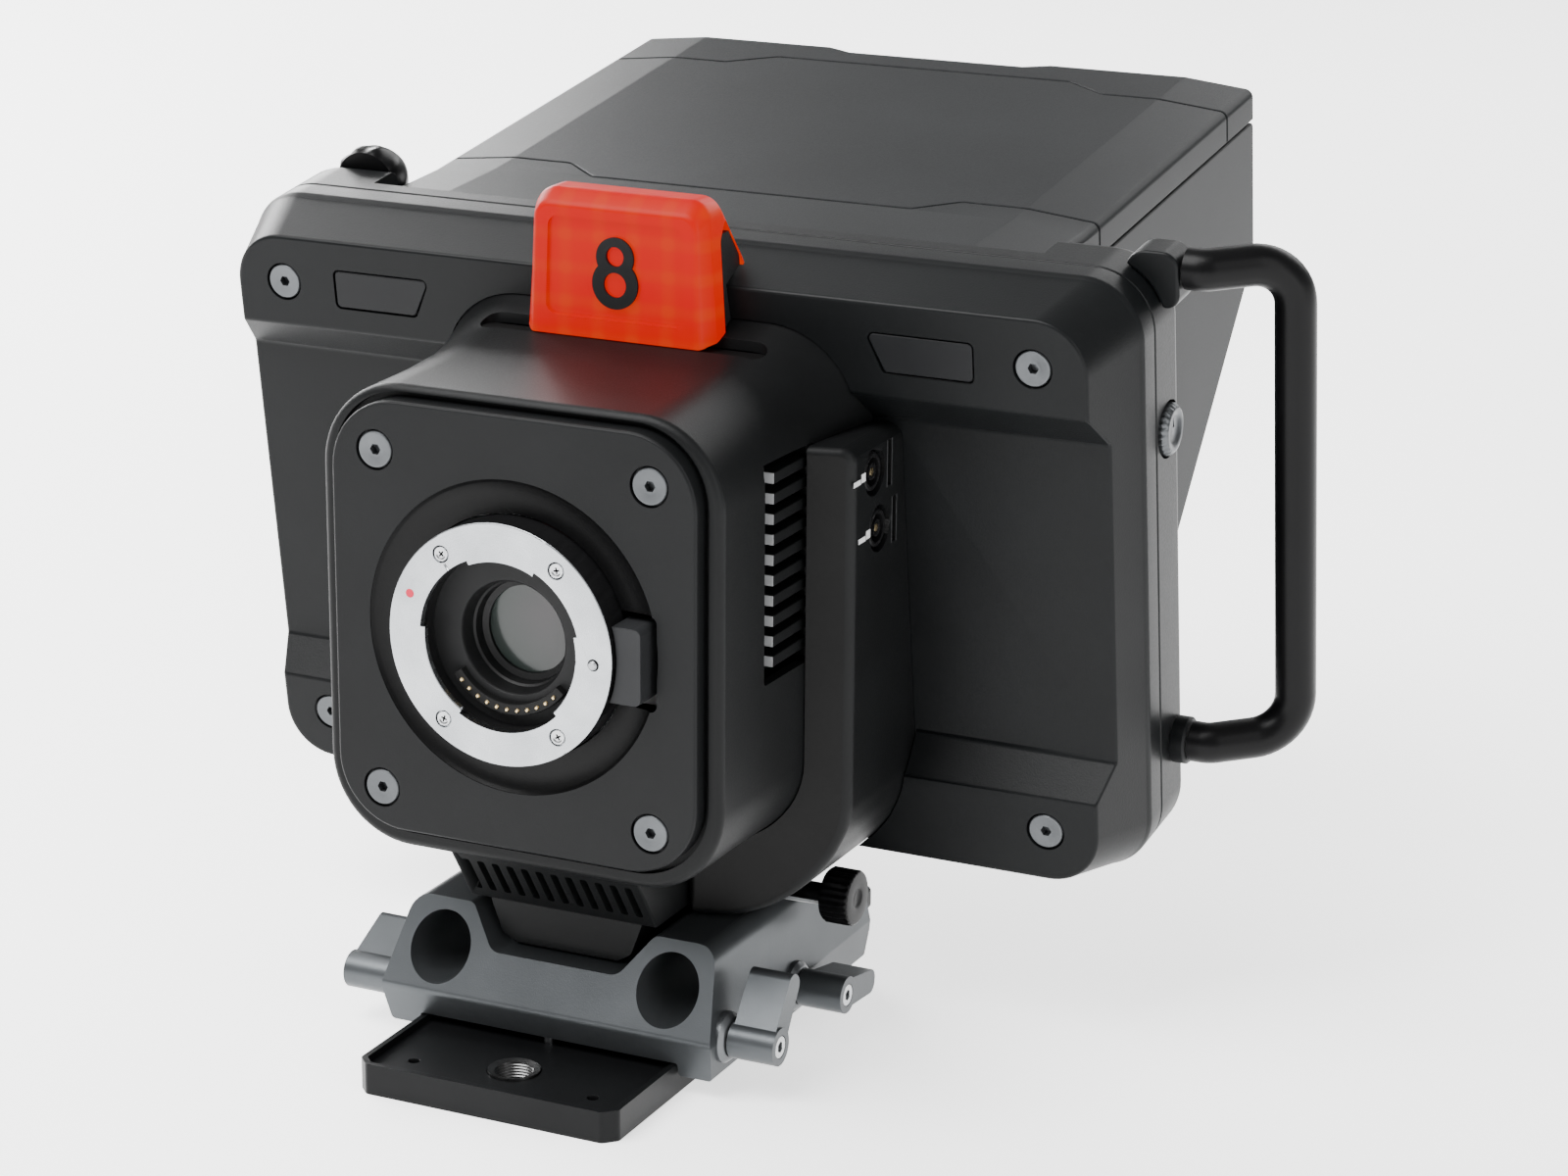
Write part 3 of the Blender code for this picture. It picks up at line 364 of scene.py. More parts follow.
def textured(name, colour, light, roughness, grain, bump, metallic=0, spec=0.12):
    """Moulded or painted surface: cloudy colour, grainy gloss and a fine bump."""
    n = Nodes(name, colour, roughness, metallic)
    n.look("Specular IOR Level", spec)
    n.look("Base Color", n.ramp(n.noise(35, 4), 0.3, 0.75, colour, light))
    speck = n.noise(grain, 2)
    n.look("Roughness", n.spread(speck, roughness - 0.07, roughness + 0.09))
    n.bump(speck, bump, 0.00012)
    return n.mat


# dark and light colour, roughness, grain and bump, then metallic and specular level where not plain
FINISHES = {
    "head_paint": ((0.0036, 0.0038, 0.004), (0.0056, 0.006, 0.0063), 0.44, 2600, 0.25),
    "plate_paint": ((0.005, 0.0053, 0.0056), (0.007, 0.0074, 0.0078), 0.42, 2600, 0.3),
    # much darker than the plate paint: painted shade for the dish round the mount
    "dish_painted_shade": ((0.0018, 0.0018, 0.0019), (0.0028, 0.0028, 0.003), 0.38, 2600, 0.2),
    "housing_plastic": ((0.0036, 0.004, 0.0043), (0.0052, 0.0058, 0.0062), 0.38, 2200, 0.25),
    "hood_plastic": ((0.0066, 0.0072, 0.0078), (0.0094, 0.0102, 0.011), 0.42, 3000, 0.2, 0, 0.08),
    "base_anodised": ((0.062, 0.067, 0.071), (0.088, 0.094, 0.099), 0.36, 3000, 0.2, 0.7),
    "throat_black": ((0.003, 0.003, 0.0032), (0.0055, 0.0055, 0.0058), 0.5, 1500, 0.15, 0, 0.25),
    "baffle_grey": ((0.012, 0.0122, 0.0125), (0.018, 0.0182, 0.0185), 0.5, 1500, 0.15),
    "handle_black": ((0.0016, 0.0016, 0.0018), (0.0028, 0.0028, 0.0031), 0.33, 1800, 0.15),
    "screw_steel": ((0.3, 0.31, 0.32), (0.42, 0.43, 0.44), 0.32, 900, 0.15, 1),
    "window_plastic": ((0.0085, 0.0088, 0.0095), (0.012, 0.0125, 0.0134), 0.34, 1500, 0.08),
    "brass": ((0.62, 0.46, 0.24), (0.78, 0.62, 0.36), 0.28, 900, 0.1, 1),
    "print_black": ((0.0065, 0.0065, 0.007), (0.01, 0.01, 0.0105), 0.5, 900, 0.05),
    "board_green": ((0.01, 0.07, 0.03), (0.02, 0.11, 0.05), 0.45, 600, 0.1),
    "plain_alloy": ((0.45, 0.46, 0.47), (0.58, 0.59, 0.6), 0.38, 900, 0.1, 1),
    "screw_face": ((0.07, 0.074, 0.078), (0.108, 0.113, 0.118), 0.36, 900, 0.15, 0.8),
    "contact_strip_black": ((0.006, 0.006, 0.006), (0.01, 0.01, 0.01), 0.4, 1500, 0.15),
    "button_plastic": ((0.016, 0.0165, 0.0175), (0.022, 0.0227, 0.024), 0.36, 1500, 0.1),
    "white_mark": ((0.55, 0.55, 0.55), (0.65, 0.65, 0.65), 0.5, 900, 0.05),
    "hub_metal": ((0.1, 0.105, 0.11), (0.14, 0.146, 0.152), 0.3, 2000, 0.15, 0.8),
    "steel_bright": ((0.45, 0.46, 0.47), (0.55, 0.56, 0.57), 0.25, 900, 0.1, 1),
    "plate_anodised": ((0.0035, 0.0037, 0.004), (0.0058, 0.0061, 0.0065), 0.36, 3000, 0.2, 0.1),
    "thread_steel": ((0.12, 0.12, 0.12), (0.18, 0.18, 0.18), 0.3, 900, 0.1, 1),
    # dark seat plastic; on the connector block's front face it is painted shade
    "seat_plastic_and_painted_shade": ((0.003, 0.003, 0.003), (0.005, 0.005, 0.005), 0.45, 1500, 0.15),
    "red_paint": ((0.5, 0.02, 0.05), (0.6, 0.03, 0.07), 0.35, 900, 0.05),
    "ring_side_black": ((0.0045, 0.0045, 0.0048), (0.007, 0.007, 0.0074), 0.35, 2000, 0.15),
    # light grey for the fins' front end faces: a painted highlight
    "fin_end_painted_highlight": ((0.24, 0.245, 0.25), (0.32, 0.325, 0.33), 0.4, 1800, 0.1),
    "line_grey": ((0.04, 0.041, 0.042), (0.055, 0.056, 0.058), 0.45, 900, 0.05),
    "arch_grey": ((0.011, 0.0112, 0.0118), (0.016, 0.0163, 0.017), 0.42, 1800, 0.15),
}
LOOKS = {name: textured(name, *values) for name, values in FINISHES.items()}


def ring_metal():
    """Turned bright metal: fine concentric grooves about the lens axis."""
    n = Nodes("ring_metal", (0.50, 0.51, 0.52), 0.30, 1)
    place = n.split()
    flat = n.add("ShaderNodeCombineXYZ")
    n.put(flat.inputs["X"], place["X"])
    n.put(flat.inputs["Y"], place["Z"])
    length = n.add("ShaderNodeVectorMath", operation='LENGTH')
    n.put(length.inputs[0], flat.outputs[0])
    grooves = n.add("ShaderNodeTexNoise", Scale=5200, Detail=2)
    grooves.noise_dimensions = '1D'
    n.put(grooves.inputs["W"], length.outputs["Value"])
    n.look("Roughness", n.spread(grooves.outputs["Fac"], 0.20, 0.36))
    n.look("Base Color", n.ramp(n.noise(60, 3), 0.3, 0.8, (0.32, 0.335, 0.35), (0.50, 0.515, 0.53)))
    n.bump(grooves.outputs["Fac"], 0.12, 0.0001)
    return n.mat


def tally_plastic():
    """Red lens lit from behind by rows of lamps."""
    n = Nodes("tally_lens_lit", (0.12, 0, 0), 0.38)
    n.look("Specular IOR Level", 0.08)
    place = n.split()

    def wave(axis, pitch, offset):
        turn = n.maths('MULTIPLY', n.maths('ADD', place[axis], offset), 2 * pi / pitch)
        return n.spread(n.maths('COSINE', turn), 0.5, 1)

    lamps = n.maths('MULTIPLY', wave("X", 0.0088, 0.0044), wave("Z", 0.0078, 0.0035))
    glow = n.maths('MULTIPLY_ADD', n.noise(90, 2), 0.35, lamps)
    n.look("Emission Color", n.ramp(glow, 0.35, 1.15, (1, 0, 0), (1, 0.055, 0)))
    n.look("Emission Strength", 0.62)
    n.bump(n.noise(400, 2), 0.05, 0.0002)
    return n.mat


def coated_glass(name, colour, tint, roughness):
    """Dark glass with a faint coloured coating."""
    n = Nodes(name, colour, roughness)
    n.look("Coat Weight", 0.1)
    n.look("Specular IOR Level", 0.35)
    n.look("Coat Roughness", 0.03)
    n.look("Base Color", n.ramp(n.noise(25, 2), 0.3, 0.7, colour, tint))
    n.bump(n.noise(12, 1), 0.01, 0.0005)
    return n.mat


LOOKS["ring_metal"] = ring_metal()
LOOKS["tally_lens_lit"] = tally_plastic()
LOOKS["sensor_filter"] = coated_glass("sensor_filter", (0.016, 0.030, 0.024), (0.046, 0.040, 0.043), 0.14)
LOOKS["screen_cover_glass"] = coated_glass("screen_cover_glass", (0.004, 0.004, 0.005),
    (0.007, 0.008, 0.010), 0.06)

SLOT_LOOKS = {
    "body_black": "head_paint", "housing_black": "housing_plastic", "base_grey": "base_anodised",
    "bright_metal": "ring_metal", "screw_steel": "screw_steel", "throat_black": "throat_black",
    "sensor_glass": "sensor_filter", "board_green": "board_green", "alloy": "plain_alloy",
    "tally_red": "tally_lens_lit", "print_black": "print_black", "screen_glass": "screen_cover_glass",
    "rubber_black": "handle_black", "window_grey": "window_plastic", "brass": "brass",
}
NODE_SLOT = {part["node"]: part["material_slot"] for part in frame["record"]["subparts"]}


def carry_over():
    """Every CAD node that stays gets the procedural material of its slot."""
    for name, obj in frame["nodes"].items():
        look = LOOKS[SLOT_LOOKS[NODE_SLOT[name]]]
        if not obj.material_slots:
            obj.data.materials.append(look)
        for slot in obj.material_slots:
            slot.material = look


# ---- camera head ----
HEAD_HALF, HEAD_TOP, HEAD_BOTTOM, HEAD_CORNER = 50.5, 55.3, -54.5, 20.5
HEAD_FRONT = -40.7
HEAD_EDGE = 2
HEAD_SECTIONS = [            # depth, half width, bottom, top
    (-20, 50.6, -54.5, 55.6), (-4, 50.9, -54.6, 56.6), (6, 51.4, -54.8, 58.4),
    (13, 52, -55, 60.8), (20, 52.8, -55.4, 63.8), (27, 54, -55.8, 67), (60, 62, -57, 82),
]
WALL = 2.5
PLATE_Y = -44.2
SEAT_Y = -38.6
CAVITY_FRONT_Y = -36.2
SEAT_OUTLINE = (47.3, -50.8, 53.7, 18.3)
PLATE_OUTLINE = (45.9, -49.4, 52.3, 16.9)
HEAD_BACK_N = 7.15
RECESS_DEPTH = 7.5
RING_OUTER, RING_INNER = 28.1, 19.1
RING_RISE = 1.1          # the ring sits a little above the head's middle
DISH_R = 36.6
SCREW_CORNERS = [(-34.5, 40.5), (34.5, 40.5), (-34.5, -39.5), (34.5, -39.5)]


def edge_sections(depth, half, low, high, corner, radius, steps=4):
    """Sections of a rounded front edge: the outline grows as it goes back."""
    sections = []
    for i in range(steps + 1):
        turn = pi / 2 * i / steps
        inset = radius * (1 - sin(turn))
        sections.append((depth + radius * (1 - cos(turn)),
            rounded_rect(half - inset, low + inset, high - inset, corner - inset)))
    return sections


def head_solid(name, inset, first=None):
    if first is None:
        sections = edge_sections(HEAD_FRONT, HEAD_HALF, HEAD_BOTTOM, HEAD_TOP, HEAD_CORNER, HEAD_EDGE)
    else:
        sections = [(first, rounded_rect(HEAD_HALF - inset, HEAD_BOTTOM + inset, HEAD_TOP - inset,
            HEAD_CORNER - inset))]
    for depth, half, low, high in HEAD_SECTIONS:
        sections.append((depth, rounded_rect(half - inset, low + inset, high - inset, HEAD_CORNER - inset)))
    return loft(name, sections)


VENT = (-19.5, 5, -10, 41)         # front, back, bottom and top of the window in the head's side


def head_shell():
    shell = head_solid("head_shell", 0)
    cut(shell, head_solid("cavity", WALL, CAVITY_FRONT_Y))
    cut(shell, loft("seat", [(y, rounded_rect(*SEAT_OUTLINE)) for y in (FLANGE_Y, SEAT_Y)]))
    cut(shell, loft("opening", [(y, rounded_rect(40.5, -45, 47, 13)) for y in (-39.6, -35.2)]))
    cut(shell, slab_behind("behind", HEAD_BACK_N))
    front, back, low, high = VENT
    for side in (-1, 1):
        outline = soft_rect(front, low, back, high, 1.2)
        cut(shell, prism("window", outline, *sorted((side * 40, side * 57)), "x"))
    recess = [(x, y + TALLY_Y) for x, y in rounded_rect(36.8, -3.2, 3.2, 3.1)]
    cut(shell, prism("recess", recess, 56.2, 70, "z"))
    soften(shell, 0.35)
    dress(shell, "head_paint", "body_black", "body_shell")


def head_front():
    """Front plate with its shallow dish round the lens mount."""
    half, low, high, corner = PLATE_OUTLINE
    sections = edge_sections(PLATE_Y, half, low, high, corner, 0.9)
    sections.append((SEAT_Y - GAP, rounded_rect(half, low, high, corner)))
    plate = loft("head_front_plate", sections)
    dish = [(0, 3), (DISH_R, 3), (DISH_R, -0.25), (DISH_R - 0.5, -0.6), (35.6, -1), (34, -1.5), (32, -1.8),
        (0, -1.8)]
    cut(plate, turned("dish", dish, (0, PLATE_Y, RING_RISE), "-y", steps=128))
    hole = RING_OUTER + 0.35
    cut(plate, disc("hole", (0, PLATE_Y, RING_RISE), hole, 24, "-y", steps=128))
    cut(plate, prism("button_well", soft_rect(25.5, -11, 36.3, 11, 1.6), -50, -35, "y"))
    for x, z in SCREW_CORNERS:
        screw_sink(plate, x, PLATE_Y, z, 9)
    soften(plate, 0.18, 2, 50)
    dress(shade(plate, 20), "plate_paint", "body_black", "front_plate")
    # The dish round the mount gets a much darker paint than the plate: painted shade in the recess.
    paint(plate, "dish_painted_shade", lambda c, n: c.y > PLATE_Y + 0.15 and hypot(c.x,
        c.z - RING_RISE) < DISH_R + 0.3)


def screw_sink(target, x, y, z, deep, place=LENS):
    profile = [(0, 2), (4.75, 2), (4.75, -1.4), (2.5, -1.7), (2.5, -deep), (0, -deep)]
    cut(target, turned("sink", profile, (x, y, z), "-y", place))


def socket_screw(name, centre, place, node):
    """Flat-head screw with a dished face and a hexagon socket."""
    profile = [(0, -0.28), (1.9, -0.24), (3.7, 0), (4.05, -0.05), (4.3, -0.35), (4.3, -0.9), (2, -1.5),
        (2, -5.4), (0, -5.4)]
    screw = turned(name, profile, centre, "-y", place, 48)
    cut(screw, disc("socket", centre, 1.35, 4.4, "y", place, 6))
    shade(screw, 30)
    dress(screw, "screw_face", "screw_steel", node)


def screws():
    for index, (x, z) in enumerate(SCREW_CORNERS, 1):
        socket_screw(f"head_screw_{index}", (x, PLATE_Y + 0.1, z), LENS, f"front_plate_screw_{index}")
    for index, (x, w) in enumerate(MONITOR_SCREWS, 1):
        socket_screw(f"housing_screw_{index}", (x, 0.1, w), SCREEN, f"monitor_screw_{index}")


RING_GAPS = ((38.5, 25), (144, 31), (277, 38))     # middle and half width of the gaps between bayonet tabs
RING_SCREW_R, RING_SCREW_TURN = 24.1, 53
PIN_X, PIN_HOLE_R = 23.6, 1.4
GAP_INNER, GAP_OUTER = 17, 20.2


def lens_ring():
    """Bayonet ring: turned face, chamfered rims, three gaps and four small screws."""
    profile = [(RING_INNER, -0.25), (RING_INNER + 0.3, 0), (RING_OUTER - 0.3, 0), (RING_OUTER, -0.25),
        (RING_OUTER, -8.1), (21, -8.1), (21, -2), (RING_INNER, -1.6)]
    ring = turned("lens_ring", profile, (0, FLANGE_Y, RING_RISE), "-y", steps=144)
    for middle, half in RING_GAPS:
        rim = [(cos(radians(middle + half * k / 8)), sin(radians(middle + half * k / 8)))
            for k in range(-8, 9)]
        outline = [(GAP_INNER * x, RING_RISE + GAP_INNER * z) for x, z in rim]
        outline += [(GAP_OUTER * x, RING_RISE + GAP_OUTER * z) for x, z in reversed(rim)]
        cut(ring, prism("gap", outline, FLANGE_Y - 1, FLANGE_Y + 1.9, "y"))
    cut(ring, disc("pin_hole", (PIN_X, FLANGE_Y, 0), PIN_HOLE_R, 30, "y"))
    across, up = RING_SCREW_R * cos(radians(RING_SCREW_TURN)), RING_SCREW_R * sin(radians(RING_SCREW_TURN))
    places = [(sx * across, RING_RISE + sz * up) for sx in (-1, 1) for sz in (-1, 1)]
    for x, z in places:
        cut(ring, disc("sink", (x, FLANGE_Y, z), 2.05, 1.2, "y", steps=32))
    soften(ring, 0.1, 2, 50)
    dress(ring, "ring_metal", "bright_metal", "mount_ring")
    outside = RING_OUTER - 0.5
    paint(ring, "ring_side_black", lambda c, n: abs(n.y) < 0.5 and hypot(c.x, c.z - RING_RISE) > outside)
    for index, (x, z) in enumerate(places, 1):
        head = [(0, -0.25), (0.9, -0.2), (1.3, 0), (1.6, 0), (1.75, -0.2), (1.75, -0.58), (0, -0.58)]
        screw = turned(f"ring_screw_{index}", head, (x, FLANGE_Y + 0.05, z), "-y", steps=32)
        for turn in (0, 90):
            place = LENS @ shift(x, FLANGE_Y, z) @ Matrix.Rotation(radians(turn + 20 * index), 4, 'Y')
            cut(screw, box("slot", (-0.75, -0.6, -0.2), (0.75, 0.6, 0.2), place))
        dress(shade(screw, 20), "steel_bright", "screw_steel")
    dot = turned("ring_index_dot", [(0, 0.18), (0.9, 0.14), (1.2, -0.15), (0, -0.15)],
        (-22.6, FLANGE_Y, 10.2), "-y", steps=32)
    dress(shade(dot), "red_paint", "tally_red")


def lens_throat():
    """Rim behind the ring, flat baffle and the stepped barrel down to the sensor window."""
    profile = [(20.3, 0), (20.8, 0), (20.8, -5.6), (26.5, -5.6), (26.5, -9), (17, -19), (12.1, -19),
        (12.1, -12.2), (10.3, -11.8), (10.3, -10.9), (11.7, -10.4), (12, -8), (12.5, -7.6), (12.9, -4.2),
        (13.4, -3.6), (20.3, -3.6)]
    throat = turned("lens_throat", profile, (0, FLANGE_Y + 2.9, RING_RISE), "-y", steps=96)
    cut(throat, disc("pin_hole", (PIN_X, FLANGE_Y, 0), PIN_HOLE_R, 60, "y"))
    shade(throat)
    dress(throat, "baffle_grey", "throat_black", "mount_throat")
    paint(throat, "throat_black", lambda c, n: not 13.5 < hypot(c.x, c.z - RING_RISE) < 20)


CONTACT_PINS = 11


def lens_contacts():
    """Curved contact strip at the bottom of the throat and its row of small pins."""
    def at(radius, angle):
        return radius * cos(radians(angle)), RING_RISE + radius * sin(radians(angle))

    outline = [at(17.5, a) for a in range(214, 323, 4)] + [at(14.9, a) for a in range(322, 213, -4)]
    strip = prism("contact_strip", outline, -45.6, -43.2, "y")
    dress(soften(strip, 0.25, 2), "contact_strip_black", "throat_black", "contact_block")
    profile = [(0, 0.5), (0.3, 0.45), (0.5, 0.2), (0.55, 0), (0, 0)]
    pins = []
    for index in range(CONTACT_PINS):
        x, z = at(16.3, 268 + (index - 5) * 9.2)
        pins.append(turned("pin", profile, (x, -45.6, z), "-y", steps=16))
    row = join("contact_pins", pins)
    dress(shade(row), "brass", "brass")


def sensor_window():
    """Filter glass at the bottom of the barrel, in front of the sensor."""
    glass = disc("sensor_window", (0, -35, RING_RISE), 12, 0.4, "y", steps=64)
    dress(soften(glass, 0.1, 2), "sensor_filter", "sensor_glass")


def release_button():
    outline = soft_rect(26.5, -8.7, 34.4, 9, [0, 1.6, 1.6, 0])
    button = prism("release_button", outline, -48.4, -39, "y")
    cut(button, disc("ring_clearance", (0, -44, RING_RISE), RING_OUTER + 0.35, 30, "y", steps=128))
    soften(button, 0.7, 3)
    dress(button, "button_plastic", "window_grey", "lens_release_button", body="lens_release")


FIN_FRONT, FIN_TOP, FIN_PITCH, FIN_COUNT = -14.2, 37, 4.75, 10


def vents():
    """Louvres: an open pocket in front, then ten level fins whose front ends carry a painted highlight."""
    front, back, low, high = VENT
    for side, name in SIDES:
        def slab(label, near, far, y0, y1, z0, z1, radius):
            x0, x1 = sorted((side * near, side * far))
            return soften(box(label, (x0, y0, z0), (x1, y1, z1)), radius, 2)

        pieces = [slab("vent_back", 43.6, 45.6, front + GAP, back - GAP, low + GAP, high - GAP, 0.2),
            slab("vent_post", 45.4, 50, back - 1.6, back - GAP, low + GAP, high - GAP, 0.25),
            slab("vent_lip", 45.4, 49.6, front + GAP, front + 1.5, low + GAP, high - GAP, 0.25)]
        for index in range(FIN_COUNT):
            z = FIN_TOP - FIN_PITCH * index
            pieces.append(slab("fin", 45.4, 50.2, FIN_FRONT, back - 1.2, z - 1.28, z + 1.28, 0.22))
        vent = shade(join(f"vent_{name}", pieces))
        dress(vent, "head_paint", "body_black", f"side_vent_{name}")
        # The fins' forward-facing end faces get a light grey: a painted highlight where light catches them.
        paint(vent, "fin_end_painted_highlight", lambda c, n: n.y < -0.8 and abs(c.y - FIN_FRONT) < 0.5)


PORT_OUTER = 61.8
PORT_CENTRES = [(14.5, 33), (17.5, 19)]
PORT_OUTLINE = [(25.35, -73.3), (34, -73.3), (38.5, -72.4), (43.5, -70.5), (48.5, -67.2), (53, -63.3),
    (57.5, -57.6), (60.6, -51), (61.8, -45), (61.8, 40.8), (30, 40.8), (25.35, -20)]
PORT_RADII = [0, 16, 18, 18, 18, 18, 18, 18, 12, 3.4, 0, 0]


def connector_block():
    """Connector side block that curves under the head, with jacks, small white marks beside them and seams."""
    outline = round_corners(PORT_OUTLINE, PORT_RADII, 4)
    block = prism("connector_block", outline, -10, 60, "y")
    front = [(10, -12.05), (80, 8.95)]
    cut(block, prism("front_cut", [(10, -40), (80, -40), front[1], front[0]], -130, 130, "z"))
    soften(block, 2, 5)
    cut(block, head_solid("head_clearance", -GAP))
    cut(block, slab_behind("behind", HEAD_BACK_N))
    for y, z in PORT_CENTRES:
        cut(block, disc("jack_well", (PORT_OUTER, y, z), 5.6, 13, "x", steps=48))
        slot = soft_rect(y + 7.6, z - 5.2, y + 9.4, z + 5.6, 0.5)
        cut(block, prism("card_slot", slot, PORT_OUTER - 3, PORT_OUTER + 2, "x"))
    shade(block)
    dress(block, "head_paint", "body_black", "port_block")
    # The block's forward-facing faces take the darker seat plastic: painted shade on that side.
    paint(block, "seat_plastic_and_painted_shade", lambda c, n: n.y < -0.92 and n.x < 0.4)
    # Small white marks just in front of each jack's rim.
    marks = []
    for y, z in PORT_CENTRES:
        for near, far, low, high in ((-11.4, -7.6, -1.1, 0.1), (-7.2, -5, -0.9, 1.1)):
            marks.append(box("mark", (PORT_OUTER, y + near, z + low), (PORT_OUTER + 0.06, y + far, z + high)))
    dress(join("port_marks", marks), "white_mark", "print_black")
    lines = []
    for y, z in PORT_CENTRES:
        for at in (y + 7.1, y + 9.7):
            lines.append(box("line", (PORT_OUTER, at - 0.14, z - 5.4),
                (PORT_OUTER + 0.05, at + 0.14, z + 5.8)))
    dress(join("port_slot_frames", lines), "line_grey", "window_grey")
    for index, (y, z) in enumerate(PORT_CENTRES, 1):
        place = (PORT_OUTER - 6, y, z)
        body = turned(f"jack_{index}", [(1.1, 5.4), (4.2, 5.6), (4.5, 5.2), (4.5, 0), (1.1, 0)], place, "x")
        cut(body, turned("ring_gap", [(2, 6), (3.4, 6), (3.4, 1.4), (2, 1.4)], place, "x"))
        dress(soften(body, 0.15, 2), "ring_side_black", "bright_metal", f"video_jack_{index}")
        profile = [(0, 5.5), (0.9, 5.3), (1.3, 4.7), (1.3, 1.2), (0, 1.2)]
        pin = turned(f"jack_pin_{index}", profile, place, "x", steps=24)
        dress(shade(pin), "brass", "brass")


NECK_FACE = ((-33, -54.9), (-21.3, -72))


def slotted_neck():
    outline = [NECK_FACE[0], NECK_FACE[1], (28, -72), (28, -56.3), (20, -55.8), (13, -55.4), (-4, -55)]
    neck = prism("neck_grille", outline, -24.6, 24.6, "x")
    (y0, z0), (y1, z1) = NECK_FACE
    lean = LENS @ shift(0, -26.4, -64.4) @ Matrix.Rotation(atan2(y1 - y0, z0 - z1), 4, 'X')
    soften(neck, 0.6, 3)
    for index in range(12):
        x = (index - 5.5) * 3.85
        cut(neck, prism("slot", soft_rect(x - 0.95, -5.7, x + 0.95, 5.7, 0.6, 4), -3, 3, "y", lean))
    shade(neck)
    dress(neck, "head_paint", "body_black", "neck_vent")


# ---- monitor ----
HOUSING_HALF, HOUSING_TOP, HOUSING_BOTTOM, HOUSING_CORNER = 117, 76.5, -72.5, 14.5
FRONT_HALF, FRONT_TOP, FRONT_BOTTOM = 110.8, 72.2, -68.2
SEAM_N, HOUSING_DEPTH = 26, 41.5
MONITOR_SCREWS = [(-97.6, 60.4), (97.6, 60.4), (-97.6, -55.5), (97.6, -55.5)]


def monitor_outline(inset):
    """The housing's largest cross-section, drawn in by an inset."""
    low, high = HOUSING_BOTTOM + inset, HOUSING_TOP - inset
    return rounded_rect(HOUSING_HALF - inset, low, high, HOUSING_CORNER - inset)


def window_outline(side, grow, radius):
    points = [(61 - grow, 55 - grow), (83.5 + grow, 55 - grow), (83.5 + grow, 65 + grow),
        (56.6 - grow, 65 + grow)]
    return round_corners([(side * x, z) for x, z in points], radius)


def housing_front():
    """Front half of the monitor housing: bevelled flanks, cross recess, windows and screw sinks."""
    sections = edge_sections(0, FRONT_HALF, FRONT_BOTTOM, FRONT_TOP, 12.9, 0.9)
    steps = 4
    for i in range(steps + 1):
        turn = radians(72) * i / steps
        sections.append((17.4 + 2 * i / steps, monitor_outline(0.8 * (1 - sin(turn) / sin(radians(72))))))
    sections.append((SEAM_N - GAP, monitor_outline(0)))
    shell = loft("housing_front", sections, SCREEN)
    inner = [(10.5, rounded_rect(109, -66, 68.5, 10)), (40, rounded_rect(113.5, -70, 70.5, 11))]
    cut(shell, loft("inner", inner, SCREEN))
    recess = round_corners([(-5, 55), (RECESS_DEPTH, 41), (RECESS_DEPTH, -38.5), (-5, -52)], [0, 2, 2, 0])
    cut(shell, prism("recess", recess, -140, 140, "x", SCREEN))
    soften(shell, 0.5, 3, 24)
    pocket = head_solid("head_pocket", -GAP)
    cut(pocket, slab_behind("behind", RECESS_DEPTH))
    cut(shell, pocket)
    ports = round_corners(offset(PORT_OUTLINE, GAP), PORT_RADII, 4)
    pocket = prism("port_pocket", ports, -10, 60, "y")
    cut(pocket, slab_behind("behind", RECESS_DEPTH))
    cut(shell, pocket)
    for side in (-1, 1):
        cut(shell, prism("window", window_outline(side, 0, 1.6), -5, 1.4, "y", SCREEN))
    for x, w in MONITOR_SCREWS:
        screw_sink(shell, x, 0, w, 13, SCREEN)
    shade(shell, 28)
    dress(shell, "housing_plastic", "housing_black", "monitor_front_shell")
    for side, name in SIDES:
        pane = prism(f"mic_window_{name}", window_outline(side, -0.45, 1.2), 0.1, 1.15, "y", SCREEN)
        dress(soften(pane, 0.3, 3), "window_plastic", "window_grey", f"window_{name}")


LCD_HALF, LCD_LOW, LCD_HIGH = 78.5, -35, 54
BUTTONS = [(-64, -52), (-48, -52), (48, -52), (64, -52)]
BUTTON_R = 3.6
DIAL = (34, 35.5)
DIAL_R = 6.3
HOOD_HALF, HOOD_TOP, HOOD_EDGE, HOOD_SKIRT = 88, 73.5, 71.5, 63.5
HOOD_REAR, HOOD_WALL = 176.8, 1.8
HOOD_HINGE_N = {-1: 62, 1: 68.0}


